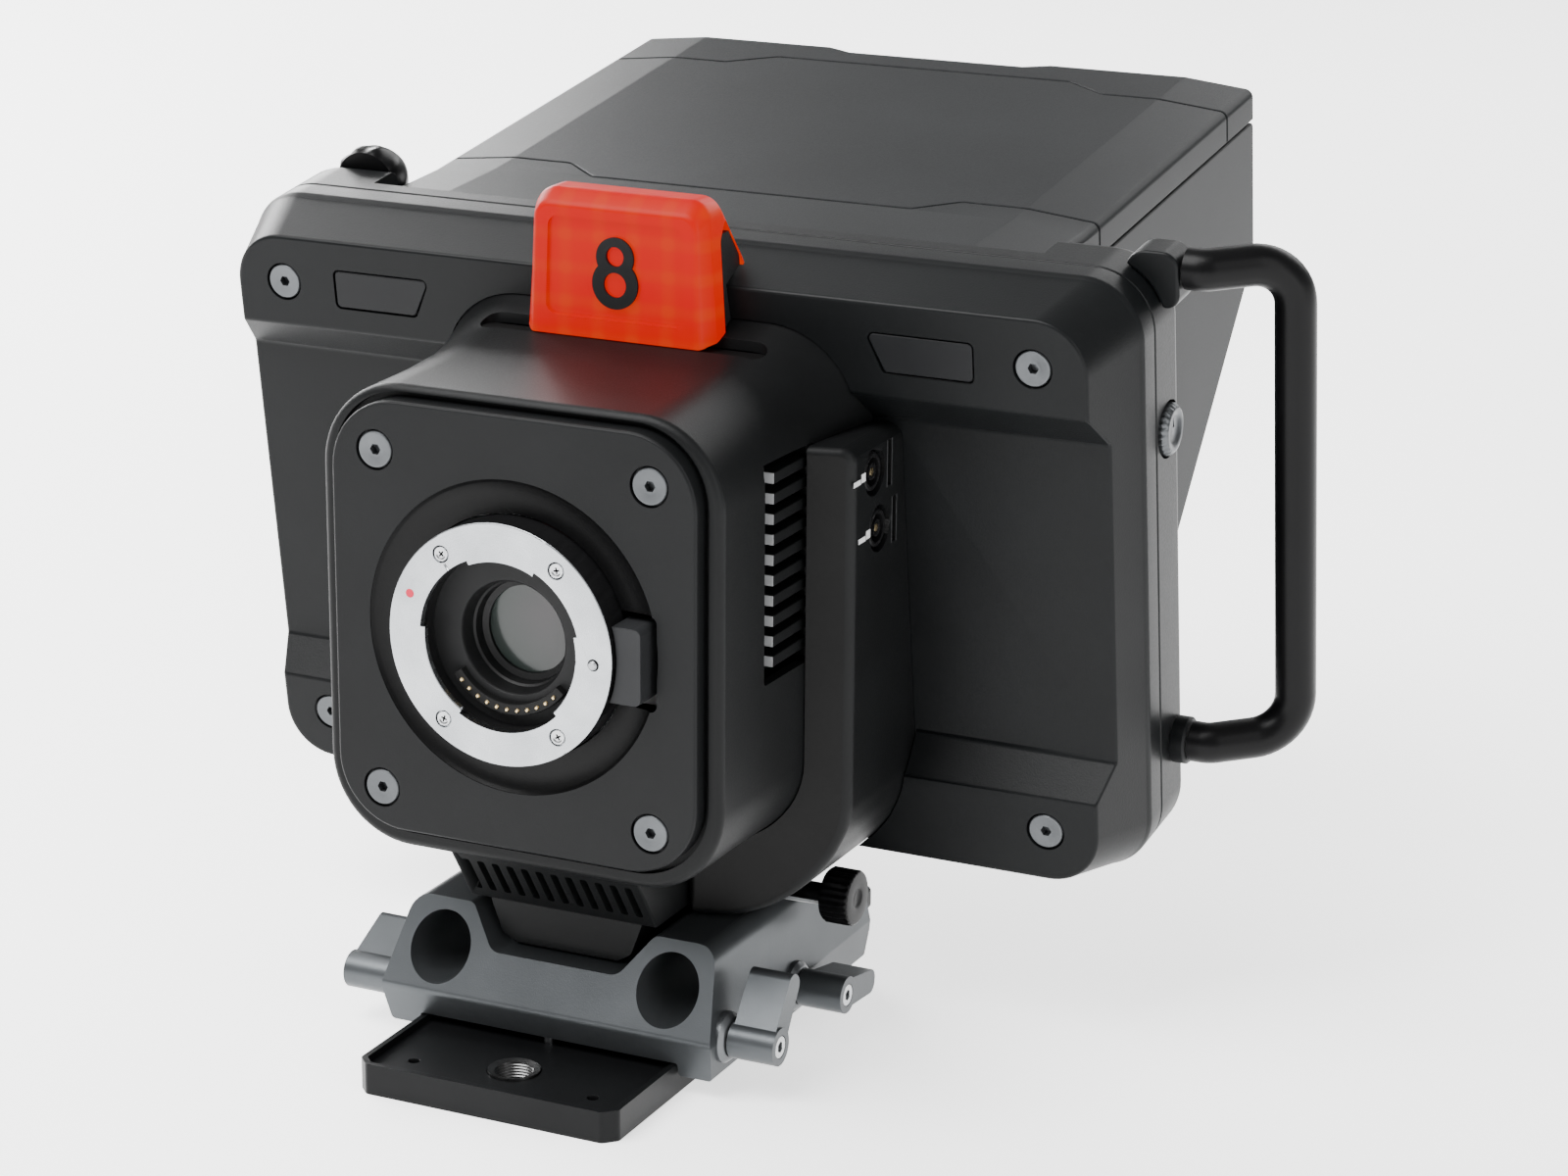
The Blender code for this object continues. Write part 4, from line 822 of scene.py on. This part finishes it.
def housing_rear():
    """Rear half with the screen's opening, button holes and the bevelled back edge."""
    sections = [(SEAM_N, monitor_outline(0.25)), (SEAM_N + 0.3, monitor_outline(0)),
        (38.5, monitor_outline(0))]
    for i in range(1, 5):
        turn = pi / 2 * i / 4
        sections.append((38.5 + 3 * sin(turn), monitor_outline(2.6 * (1 - cos(turn)))))
    bezel = loft("housing_rear", sections, SCREEN)
    cut(bezel, box("inner", (-106, 10, -66), (106, 37.5, 65), SCREEN))
    lcd = rounded_rect(LCD_HALF + GAP, LCD_LOW - GAP, LCD_HIGH + GAP, 1, 4)
    cut(bezel, prism("opening", lcd, 30, 50, "y", SCREEN))
    cut(bezel, box("hood_seat",
        (-HOOD_HALF - 0.6, 30.6, HOOD_EDGE - 2.6), (HOOD_HALF + 0.6, 60, 100), SCREEN))
    for x, w in BUTTONS:
        cut(bezel, disc("button_hole", (x, 40, w), BUTTON_R + 0.4, 12, "y", SCREEN, 40))
    cut(bezel, disc("dial_hole", (HOUSING_HALF, *DIAL), DIAL_R + 0.6, 8, "x", SCREEN, 48))
    soften(bezel, 0.4, 3)
    dress(bezel, "housing_plastic", "housing_black", "monitor_rear_bezel")
    frame_outline = rounded_rect(LCD_HALF + 4, LCD_LOW - 4, LCD_HIGH + 4, 3, 6)
    trim = prism("screen_trim", frame_outline, 41.3, 41.9, "y", SCREEN)
    cut(trim, prism("trim_opening", lcd, 40, 44, "y", SCREEN))
    dress(soften(trim, 0.2, 2), "print_black", "print_black")
    for index, (x, w) in enumerate(BUTTONS, 1):
        profile = [(0, 3.9), (BUTTON_R - 1.3, 4.1), (BUTTON_R - 0.5, 4.35), (BUTTON_R - 0.1, 4),
            (BUTTON_R, 3.4), (BUTTON_R, 0), (0, 0)]
        button = turned(f"key_{index}", profile, (x, 38.6, w), "y", SCREEN, 48)
        dress(shade(button), "window_plastic", "window_grey", f"rear_button_{index}", body=f"button_{index}")


def screen():
    glass = prism("cover_glass", rounded_rect(LCD_HALF, LCD_LOW, LCD_HIGH, 0.8, 4), 36.4, 40.4, "y", SCREEN)
    dress(soften(glass, 0.35, 3), "screen_cover_glass", "screen_glass", "screen_glass")


def knurled(name, profile, centre, axis, place, count, depth, low, high, steps=None):
    """Turned piece whose rim carries grooves along the axis, between two heights."""
    steps = steps or count * 4
    obj = turned(name, profile, centre, axis, place, steps)
    back = shift(*centre) @ AXIS_TURN[axis]
    turn = back.inverted()
    rim = max(radius for radius, _ in profile)
    for vert in obj.data.vertices:
        point = turn @ vert.co
        radius = hypot(point.x, point.y) / MM
        height = point.z / MM
        if radius > rim * 0.93 and low <= height <= high:
            angle = atan2(point.y, point.x)
            scale = 1 - depth / radius * (0.5 - 0.5 * cos(angle * count))
            vert.co = back @ Vector((point.x * scale, point.y * scale, point.z))
    return shade(obj, 50)


def dial():
    """Push dial on the housing's side, knurled, with a pointer groove."""
    profile = [(0, 4.7), (3.2, 4.7), (3.6, 5.1), (4.8, 5.3), (5.4, 5.1), (DIAL_R, 4.2), (DIAL_R, 3.8),
        (DIAL_R, 2.6), (DIAL_R, 1.4), (DIAL_R, 0.2), (0, 0.2)]
    knob = knurled("side_dial", profile, (HOUSING_HALF - 3.6, *DIAL), "x", SCREEN, 24, 0.55, 0.1, 4.5)
    arrow = [(DIAL[0] - 0.5, DIAL[1] + 0.6), (DIAL[0] + 0.5, DIAL[1] + 0.6), (DIAL[0], DIAL[1] + 3)]
    cut(knob, prism("pointer", arrow, HOUSING_HALF + 0.7, HOUSING_HALF + 4, "x", SCREEN))
    dress(knob, "screw_face", "bright_metal", "monitor_dial", body="dial")


def hood_knob():
    """Domed grip of the hood's lock screw, with finger flutes."""
    profile = [(0, 15), (1.6, 14.8), (3, 14), (4.4, 12.8), (5.8, 11), (7.2, 8.8), (8.3, 6.6), (9, 4.6),
        (9.3, 2.8), (9.1, 1.2), (8.3, 0.1), (0, 0)]
    knob = knurled("hood_grip", profile, (-98.2, HOUSING_DEPTH + GAP, 71.5), "y", SCREEN, 10, 0.7, 1, 9, 80)
    dress(knob, "handle_black", "rubber_black", "hood_lock_knob", body="hood_knob")


# ---- hood ----
def roof_outline(skirt, lift=0):
    """Cross-section of the folded roof sheet with soft folds."""
    top, edge, t = HOOD_TOP + lift, HOOD_EDGE + lift, HOOD_WALL
    outer = [(-HOOD_HALF, skirt), (-HOOD_HALF, edge), (-69.5, top), (69.5, top), (HOOD_HALF, edge),
        (HOOD_HALF, skirt)]
    inner = [(HOOD_HALF - t, skirt), (HOOD_HALF - t, edge - t), (69.5, top - t), (-69.5, top - t),
        (-HOOD_HALF + t, edge - t), (-HOOD_HALF + t, skirt)]
    radii = [0, 2.2, 12, 12, 2.2, 0, 0, 0.5, 10, 10, 0.5, 0]
    return round_corners(outer + inner, radii)


FRONT_JOG = [(-100, 66.5), (-53, 66.5), (-43, 58.5), (43, 58.5), (53, 66.5), (100, 66.5)]
REAR_JOG = [(-100, 157), (-54, 157), (-42, 165), (42, 165), (54, 157), (100, 157)]
JOG_RADII = [0, 2.5, 2.5, 2.5, 2.5, 0]


def soft_jog(points, amount):
    return round_corners([(x, n + amount) for x, n in points], JOG_RADII, 4)


def hood_pieces():
    """Fixed frame, roof panel, rear strip and the two folding sides with their hinge knuckles."""
    front = loft("hood_front", [(30.9, roof_outline(-62, 1.9)), (58, roof_outline(-62)),
        (80, roof_outline(-62))], SCREEN)
    cut(front, box("housing_clearance", (-100, 20, -80), (100, HOUSING_DEPTH + GAP, 69.4), SCREEN))
    rim = [(-100, 20)] + soft_jog(FRONT_JOG, 0) + [(100, 20)]
    boolean(front, prism("rim", rim, -90, 90, "z", SCREEN), 'INTERSECT')
    cut(front, box("hinge_gap", (-100, HOOD_HINGE_N[-1] - 1.5, -80), (-80, 90, HOOD_SKIRT), SCREEN))
    dress(soften(front, 0.35, 3), "hood_plastic", "housing_black", "hood_frame")

    panel = loft("hood_roof", [(50, roof_outline(HOOD_SKIRT)), (170, roof_outline(HOOD_SKIRT))], SCREEN)
    outline = soft_jog(FRONT_JOG, 0.6) + soft_jog(REAR_JOG, -0.6)[::-1]
    boolean(panel, prism("outline", outline, -90, 90, "z", SCREEN), 'INTERSECT')
    dress(soften(panel, 0.35, 3), "hood_plastic", "housing_black", "hood_top_panel")

    strip = loft("hood_rear_lip", [(150, roof_outline(HOOD_SKIRT)), (180, roof_outline(HOOD_SKIRT))], SCREEN)
    back = [(100, HOOD_REAR), (32, HOOD_REAR), (25, HOOD_REAR - 3), (-25, HOOD_REAR - 3), (-32, HOOD_REAR),
        (-100, HOOD_REAR)]
    boolean(strip, prism("outline", soft_jog(REAR_JOG, 0) + back, -90, 90, "z", SCREEN), 'INTERSECT')
    dress(soften(strip, 0.35, 3), "hood_plastic", "housing_black", "hood_rear_strip")

    for side, name in SIDES:
        n0 = HOOD_HINGE_N[side] - 0.9
        points = [(n0, -62), (81, -62), (HOOD_REAR, 26), (HOOD_REAR, HOOD_SKIRT - 0.6),
            (n0, HOOD_SKIRT - 0.6)]
        faces = sorted((side * HOOD_HALF, side * (HOOD_HALF - HOOD_WALL)))
        flap = prism(f"hood_flap_{name}", round_corners(points, [0.5, 6, 4, 1.5, 0.5]), *faces, "x", SCREEN)
        dress(soften(flap, 0.4, 3), "hood_plastic", "housing_black", f"hood_side_{name}", body=f"hood_{name}")
        pin = (side * (HOOD_HALF - HOOD_WALL - 0.5), HOOD_HINGE_N[side] - 1.2, 0)
        leaves = []
        for w in (-46, -6, 34):
            for low in (w - 6.5, w + 0.3):
                knuckle = [(0, low + 6.2), (1.2, low + 6.2), (1.45, low + 5.9), (1.45, low + 0.3),
                    (1.2, low), (0, low)]
                leaves.append(turned("knuckle", knuckle, pin, "z", SCREEN, 24))
        dress(shade(join(f"hood_hinges_{name}", leaves)), "handle_black", "screw_steel")


# ---- tally light ----
TALLY_Y = 9.3
TALLY_FACE = 5.8
TALLY_SECTIONS = [           # depth, half width at the foot and the top, top, corner radius
    (TALLY_FACE, 21.6, 19.9, 88.4, 3.4), (6.15, 22.3, 20.6, 89.2, 3.8), (6.8, 23, 21.1, 90, 4.2),
    (9.4, 25, 21.9, 91.8, 5), (10.3, 25.2, 22, 92.3, 5.2), (11.2, 25.2, 22, 92.4, 5.2),
    (16.2, 25.2, 22, 92.4, 5.2), (17.2, 25.2, 22, 91.4, 5.2), (27, 25.2, 22.6, 78.6, 5.2),
]
HOUSING_CLEARANCE = [(-GAP, rounded_rect(111.2, -68.6, 72.6, 13.2)), (18.5, rounded_rect(117.4, -72.9,
    76.9, 14.8)), (50, rounded_rect(117.4, -72.9, 76.9, 14.8))]


def tally_solid(name, inset):
    sections = []
    for depth, foot, top, high, radius in TALLY_SECTIONS:
        corners = [(-foot + inset, 50), (foot - inset, 50), (top - inset, high - inset),
            (-top + inset, high - inset)]
        sections.append((depth + inset, round_corners(corners, [0, 0, radius - inset, radius - inset], 8)))
    return loft(name, sections)


def tally():
    """Red lens: faceted front with a raised frame, and the dark arched panel behind it."""
    lens = tally_solid("tally_cover", 0)
    side = round_corners([(13.4, 40), (14.4, 82.6), (17.4, 87), (19.4, 86.2), (25.6, 77.4), (25.6, 40)],
        [0, 3, 1.4, 2, 0, 0])
    for sign in (-1, 1):
        cut(lens, prism("arch", side, *sorted((sign * 19.4, sign * 40)), "x"))
    cut(lens, box("inside", (-19.5, 8.4, 40), (19.5, 60, 84)))
    cut(lens, box("back", (-40, 26.6, 40), (40, 60, 100)))
    cut(lens, head_solid("head_clearance", -GAP))
    inner = round_corners([(-18, 63.4), (18, 63.4), (17.2, 86.4), (-17.2, 86.4)], 2.4, 8)
    cut(lens, prism("panel", inner, TALLY_FACE - 1, TALLY_FACE + 0.9, "y"))
    cut(lens, loft("housing_clearance", HOUSING_CLEARANCE, SCREEN))
    soften(lens, 0.25, 3, 40)
    dress(lens, "tally_lens_lit", "tally_red", "tally_lens")

    foot = tally_solid("tally_housing", 0.8)
    front_part = [(0, 40), (8.9, 40), (8.9, 110), (0, 110)]
    cut(foot, prism("front_part", front_part, -40, 40, "x"))
    cut(foot, box("top_part", (-40, 0, 83.6), (40, 60, 110)))
    cut(foot, head_solid("head_clearance", -GAP))
    cut(foot, loft("housing_clearance", HOUSING_CLEARANCE, SCREEN))
    soften(foot, 0.4, 3)
    dress(foot, "arch_grey", "rubber_black")
    seat = [(x, y + TALLY_Y) for x, y in rounded_rect(36.4, -2.8, 2.8, 2.7)]
    plate = prism("tally_seat", seat, 56.5, 58, "z")
    dress(soften(plate, 0.25, 2), "seat_plastic_and_painted_shade", "rubber_black", "tally_base")


def tally_digit():
    """Generic digit 8: two stacked rings with a round-edged stroke."""
    y = TALLY_FACE + 0.35
    digit = disc("tally_digit", (0, y, 71.8), 5.85, 0.6, "y", steps=64)
    boolean(digit, disc("upper", (0, y, 77.9), 4.8, 0.6, "y", steps=64), 'UNION')
    cut(digit, disc("lower_hole", (0, y, 71.6), 2.9, 4, "y", steps=48))
    cut(digit, disc("upper_hole", (0, y, 78.2), 2.3, 4, "y", steps=48))
    dress(shade(digit, 20), "print_black", "print_black", "tally_number")


# ---- handle ----
HANDLE_FOOT_N = 35.6         # depth at which both ends meet the housing
HANDLE_R, HANDLE_X, HANDLE_N, HANDLE_TOP, HANDLE_BOTTOM = 4.88, 142.8, 48, 74.5, -44.5


def arc_path(points, radii, steps):
    """A polyline in space whose inner corners are arcs."""
    path = [Vector(points[0])]
    for before, corner, after, radius in zip(points, points[1:], points[2:], radii):
        path += arc(before, corner, after, radius, steps)
    return path + [Vector(points[-1])]


def tube(name, path, radius, place, steps=32):
    """Round tube along a path, with caps."""
    loops = []
    across = None
    for i, point in enumerate(path):
        ahead = (path[min(i + 1, len(path) - 1)] - path[max(i - 1, 0)]).normalized()
        if across is None:
            across = ahead.orthogonal().normalized()
        across = (across - ahead * across.dot(ahead)).normalized()
        other = ahead.cross(across)
        turns = [2 * pi * k / steps for k in range(steps)]
        loops.append([point + (across * cos(turn) + other * sin(turn)) * radius for turn in turns])
    return shade(skin(name, loops, place))


def side_handle():
    flush, bend = HOUSING_HALF + 4.5, HOUSING_HALF + 8.5
    corners = [(flush, HANDLE_FOOT_N, HANDLE_TOP), (bend, HANDLE_FOOT_N, HANDLE_TOP),
        (HANDLE_X, HANDLE_N, HANDLE_TOP), (HANDLE_X, HANDLE_N, HANDLE_BOTTOM),
        (bend, HANDLE_FOOT_N, HANDLE_BOTTOM), (flush, HANDLE_FOOT_N, HANDLE_BOTTOM)]
    grip = tube("side_handle", arc_path(corners, (5, 10.5, 10.5, 5), 12), HANDLE_R, SCREEN)
    dress(grip, "handle_black", "rubber_black", "handle_tube")
    clamp_outline = soft_rect(108, 66, 120.9, 79.4, [0, 3, 4, 5])
    clamp = prism("handle_bracket", clamp_outline, 30.8, 40.4, "y", SCREEN)
    cut(clamp, loft("housing_clearance", [(n, monitor_outline(-GAP)) for n in (18.5, 42)], SCREEN))
    dress(soften(clamp, 1, 4), "housing_plastic", "housing_black", "handle_clamp_top")
    foot = turned("handle_foot", [(0, 1.8), (5.2, 1.8), (5.7, 1.3), (5.7, -1.8), (0, -1.8)],
        (HOUSING_HALF + 2.2, HANDLE_FOOT_N, HANDLE_BOTTOM), "x", SCREEN)
    dress(shade(foot), "housing_plastic", "housing_black", "handle_clamp_bottom")


# ---- base ----
ROD_DROP, ROD_SPACING, ROD_BORE_R = -84.3, 60, 7.85
CHANNEL_HALF, CHANNEL_TOP, CHASSIS_BOTTOM = 34, -100.6, -104
HUB_R, HUB_FACE, LEVER_END = 6, 45, 57
LEVERS = {
    "lever_front_right": (1, -22.8, -94.8, 35),
    "lever_rear_right": (1, 14.4, -95.9, 98),
    "lever_front_left": (-1, -22.4, -96.2, 62),
}


def rod_base():
    """Cast base: leaning face with two rod bores, hub bosses and rounded shoulders."""
    top = ROD_DROP + 10.4
    right = [(CHANNEL_HALF, CHANNEL_TOP), (CHANNEL_HALF, CHASSIS_BOTTOM), (42.4, CHASSIS_BOTTOM),
        (43.5, -94.5), (39.6, top), (24, top), (16.6, -83.4)]
    radii = [0.6, 0.6, 1, 2, 5, 2.4, 4]
    outline = right + [(-x, z) for x, z in reversed(right)]
    base = prism("rod_base", round_corners(outline, radii + radii[::-1]), -45, 70, "y")
    side = [(-21, top + 0.1), (-32, -94), (-28.5, CHASSIS_BOTTOM - 1), (56, CHASSIS_BOTTOM - 1),
        (57.5, -97), (57, -83.4), (34, -82.6), (12.5, top + 0.1)]
    boolean(base, prism("side", round_corners(side, [0, 2.4, 0, 0, 2, 2, 3, 3]), -60, 60, "x"), 'INTERSECT')
    soften(base, 0.6, 3, 28)
    for sign in (-1, 1):
        cut(base, disc("bore", (sign * ROD_SPACING / 2, 5, ROD_DROP), ROD_BORE_R, 160, "y", steps=64))
    shade(base)
    dress(base, "base_anodised", "base_grey", "base_chassis")
    for name, (sign, y, z, _) in LEVERS.items():
        profile = [(0, 2.6), (4.6, 2.6), (5.2, 2.3), (HUB_R, 1.4), (HUB_R, -1.2), (0, -1.2)]
        hub = turned(f"hub_{name}", profile, (sign * (HUB_FACE - 2.6), y, z), "x" if sign > 0 else "-x")
        dress(shade(hub), "hub_metal", "base_grey")


def lever(name, side, y, z, lean):
    """Wing lever: round barrel, one thick rounded wing and a bright socket screw."""
    start, end = sorted((side * (HUB_FACE + GAP), side * LEVER_END))
    middle = (start + end) / 2
    barrel = disc(f"grip_{name}", (middle, y, z), 4.5, end - start, "x", steps=48)
    outline = round_corners([(-3.6, 0), (3.6, 0), (2.9, 17.2), (-2.9, 17.2)], [0, 0, 2.6, 2.6])
    place = LENS @ shift(0, y, z) @ Matrix.Rotation(radians(-lean), 4, 'X')
    wing = prism("wing", outline, start + 0.6, end - 0.6, "x", place)
    boolean(barrel, wing, 'UNION')
    soften(barrel, 0.7, 3, 40)
    outer = side * LEVER_END
    cut(barrel, disc("screw_hole", (outer, y, z), 2.75, 2.4, "x", steps=40))
    shade(barrel)
    dress(barrel, "base_anodised", "base_grey", f"wing_{name}", body=name)
    cap = disc(f"cap_{name}", (outer - side * 0.6, y, z), 2.6, 1.1, "x", steps=40)
    cut(cap, disc("socket", (outer, y, z), 1.3, 3.6, "x", steps=6))
    dress(soften(cap, 0.15, 2), "steel_bright", "screw_steel", body=name)


THREAD_Y = -45.6


def plate():
    """Sliding tripod plate: thin-rimmed tray, screw thread, pin holes and front chamfers."""
    front, back, half, chamfer, rim = -60.7, 58, 33.6, 3, 1.5
    bottom, floor_z, rim_z = -LENS_Z / MM, -102.7, -101

    def outline(inset, radius):
        points = [(-half + inset, back - inset), (-half + inset, front + chamfer + inset * 0.4),
            (-half + chamfer + inset * 0.4, front + inset), (half - chamfer - inset * 0.4, front + inset),
            (half - inset, front + chamfer + inset * 0.4), (half - inset, back - inset)]
        return round_corners(points, [0.5, radius, radius, radius, radius, 0.5])

    tray = prism("plate_body", outline(0, 1.8), bottom, rim_z, "z")
    cut(tray, prism("tray", outline(rim, 1.2), floor_z, -90, "z"))
    cut(tray, disc("thread_hole", (0, THREAD_Y, -106), 6.3, 20, "z", steps=48))
    for x in (-23.4, 23.4):
        cut(tray, disc("pin_hole", (x, -51, floor_z), 1.4, 3, "z", steps=24))
    cut(tray, box("track", (-3, -28.5, floor_z - 0.5), (3, 50, floor_z + 1)))
    soften(tray, 0.35, 3)
    dress(tray, "plate_anodised", "base_grey", "tripod_plate", body="plate")
    profile = [(6.1, 3)]
    for i in range(8):
        profile += [(4.55, 2.6 - i * 0.72), (4.95, 2.24 - i * 0.72)]
    profile += [(4.6, -3), (6.1, -3)]
    insert = turned("tripod_thread", profile, (0, THREAD_Y, -105.2), "z", steps=64)
    dress(shade(insert), "thread_steel", "brass", "thread_insert", body="plate")
    stop = turned("plate_stop_pin", [(0, 2), (1, 2), (1.3, 1.7), (1.3, -0.6), (0, -0.6)],
        (-1, -27, floor_z), "z", steps=32)
    dress(shade(stop), "screw_steel", "screw_steel", body="plate")


def lock_wheel():
    """Knurled wheel and spindle that lock the head on the base."""
    profile = [(0, 7.2), (2.2, 7.2), (2.6, 7.6), (6, 7.6), (6.5, 7.3), (6.8, 6.8), (6.8, 5), (6.8, 3),
        (6.8, 0.8), (6.2, 0.1), (2.3, 0), (2.3, -26.2), (0, -26.2)]
    wheel = knurled("lock_wheel", profile, (46.4, 26, -76), "x", LENS, 24, 0.5, 0.5, 7)
    dress(wheel, "handle_black", "rubber_black", "shoe_lock_knob", body="shoe_knob")


def offset(points, distance):
    """Polygon drawn anticlockwise or clockwise, with each side moved outward."""
    area = sum(a[0] * b[1] - b[0] * a[1] for a, b in zip(points, points[1:] + points[:1]))
    sign = copysign(1, area)
    moved = []
    for i, point in enumerate(points):
        here = Vector(point)
        a = (here - Vector(points[i - 1])).normalized()
        b = (Vector(points[(i + 1) % len(points)]) - here).normalized()
        na, nb = Vector((a.y, -a.x)) * sign, Vector((b.y, -b.x)) * sign
        step = (na + nb) * (distance / (1 + na.dot(nb)))
        moved.append(tuple(here + step))
    return moved


def small_parts():
    """Dovetail shoe under the head and the plate's release key."""
    shoe_points = [(-20, -72.35), (-17, -80.4), (-13.5, -82.5), (13.5, -82.5), (17, -80.4), (20, -72.35)]
    shoe = prism("dovetail_shoe", round_corners(shoe_points, [0.4, 2, 1, 1, 2, 0.4]), -20, 30, "y")
    boolean(shoe, box("rear", (-15, 28.5, -82.5), (15, 44, -70)), 'UNION')
    # The shoe takes the head's dark paint rather than the base's grey: painted shade for the dark gap between the
    # base's arches.
    dress(soften(shoe, 0.5, 3), "head_paint", "base_grey", "camera_shoe")
    tab = prism("release_key", soft_rect(35.5, -93.5, 41.5, -87.5, 1.4), 57.9, 62.5, "y")
    dress(soften(tab, 0.6, 3), "handle_black", "rubber_black", "plate_release_tab", body="release_tab")


def build_pieces():
    for build in (head_shell, head_front, screws, lens_ring, lens_throat, lens_contacts, sensor_window,
            release_button, vents, connector_block, slotted_neck, housing_front, housing_rear, screen,
            dial, hood_knob, hood_pieces, tally, tally_digit, side_handle, rod_base):
        build()
    for name, values in LEVERS.items():
        lever(name, *values)
    plate()
    lock_wheel()
    small_parts()


# ---- stage ----
CAMERA_AZIMUTH = radians(25.23)
CAMERA_HEIGHT = radians(16.92)
CAMERA_ROLL = radians(0.464)
CAMERA_DISTANCE = 0.9
CAMERA_TARGET = Vector((0.0497, -0.0075, 0.1184))
CAMERA_LENS = 91.81
LIGHT_TARGET = Vector((0, 0, 0.11))
FLOOR_GLOW = 1.5
SKY = 0.5


def camera():
    data = bpy.data.cameras.new("camera")
    data.lens = CAMERA_LENS
    data.sensor_width = 36
    data.clip_start = 0.02
    obj = bpy.data.objects.new("camera", data)
    bpy.context.scene.collection.objects.link(obj)
    flat = cos(CAMERA_HEIGHT)
    back = Vector((sin(CAMERA_AZIMUTH) * flat, -cos(CAMERA_AZIMUTH) * flat, sin(CAMERA_HEIGHT)))
    look = back.to_track_quat('Z', 'Y').to_matrix().to_4x4()
    obj.matrix_world = Matrix.Translation(CAMERA_TARGET + back * CAMERA_DISTANCE) @ look @ \
        Matrix.Rotation(CAMERA_ROLL, 4, 'Z')
    bpy.context.scene.camera = obj


def floor():
    bm = bmesh.new()
    bmesh.ops.create_grid(bm, x_segments=2, y_segments=2, size=4)
    obj = mesh_object(bm, "floor")
    n = Nodes("floor_pale", (0.93, 0.93, 0.93), 0.6)
    n.look("Base Color", n.ramp(n.noise(3, 2), 0.3, 0.7, (0.92, 0.92, 0.92), (0.94, 0.94, 0.94)))
    n.look("Emission Color", (1, 1, 1, 1))
    n.look("Emission Strength", FLOOR_GLOW)
    obj.data.materials.append(n.mat)


def area_light(name, place, size, power):
    data = bpy.data.lights.new(name, 'AREA')
    data.shape = 'RECTANGLE'
    data.size, data.size_y = size
    data.energy = power
    obj = bpy.data.objects.new(name, data)
    obj.location = place
    obj.rotation_euler = (Vector(place) - LIGHT_TARGET).to_track_quat('Z', 'Y').to_euler()
    bpy.context.scene.collection.objects.link(obj)


def lights():
    area_light("key_top", (-0.5, -0.7, 1.5), (1.2, 1.2), 60)
    area_light("fill_right", (1.5, -0.6, 0.7), (0.7, 1.6), 13)
    area_light("rim_left", (-1.4, 0.5, 0.8), (0.5, 1.4), 30)
    area_light("back_left", (-1.55, 1.5, 0.85), (0.9, 0.7), 46)
    area_light("back_soft", (0.3, 1.8, 1), (1.6, 0.9), 18)
    glow = bpy.data.lights.new("tally_glow", 'AREA')
    glow.size = 0.04
    glow.energy = 0.004
    glow.color = (1, 0.03, 0.01)
    lamp = bpy.data.objects.new("tally_glow", glow)
    lamp.matrix_world = LENS @ shift(0, 3, 66) @ Matrix.Rotation(radians(-50), 4, 'X')
    bpy.context.scene.collection.objects.link(lamp)
    world = bpy.data.worlds.new("studio")
    bpy.context.scene.world = world
    world.use_nodes = True
    background = world.node_tree.nodes["Background"]
    background.inputs["Color"].default_value = (1, 1, 1, 1)
    background.inputs["Strength"].default_value = SKY


camera()
floor()
lights()
carry_over()
build_pieces()
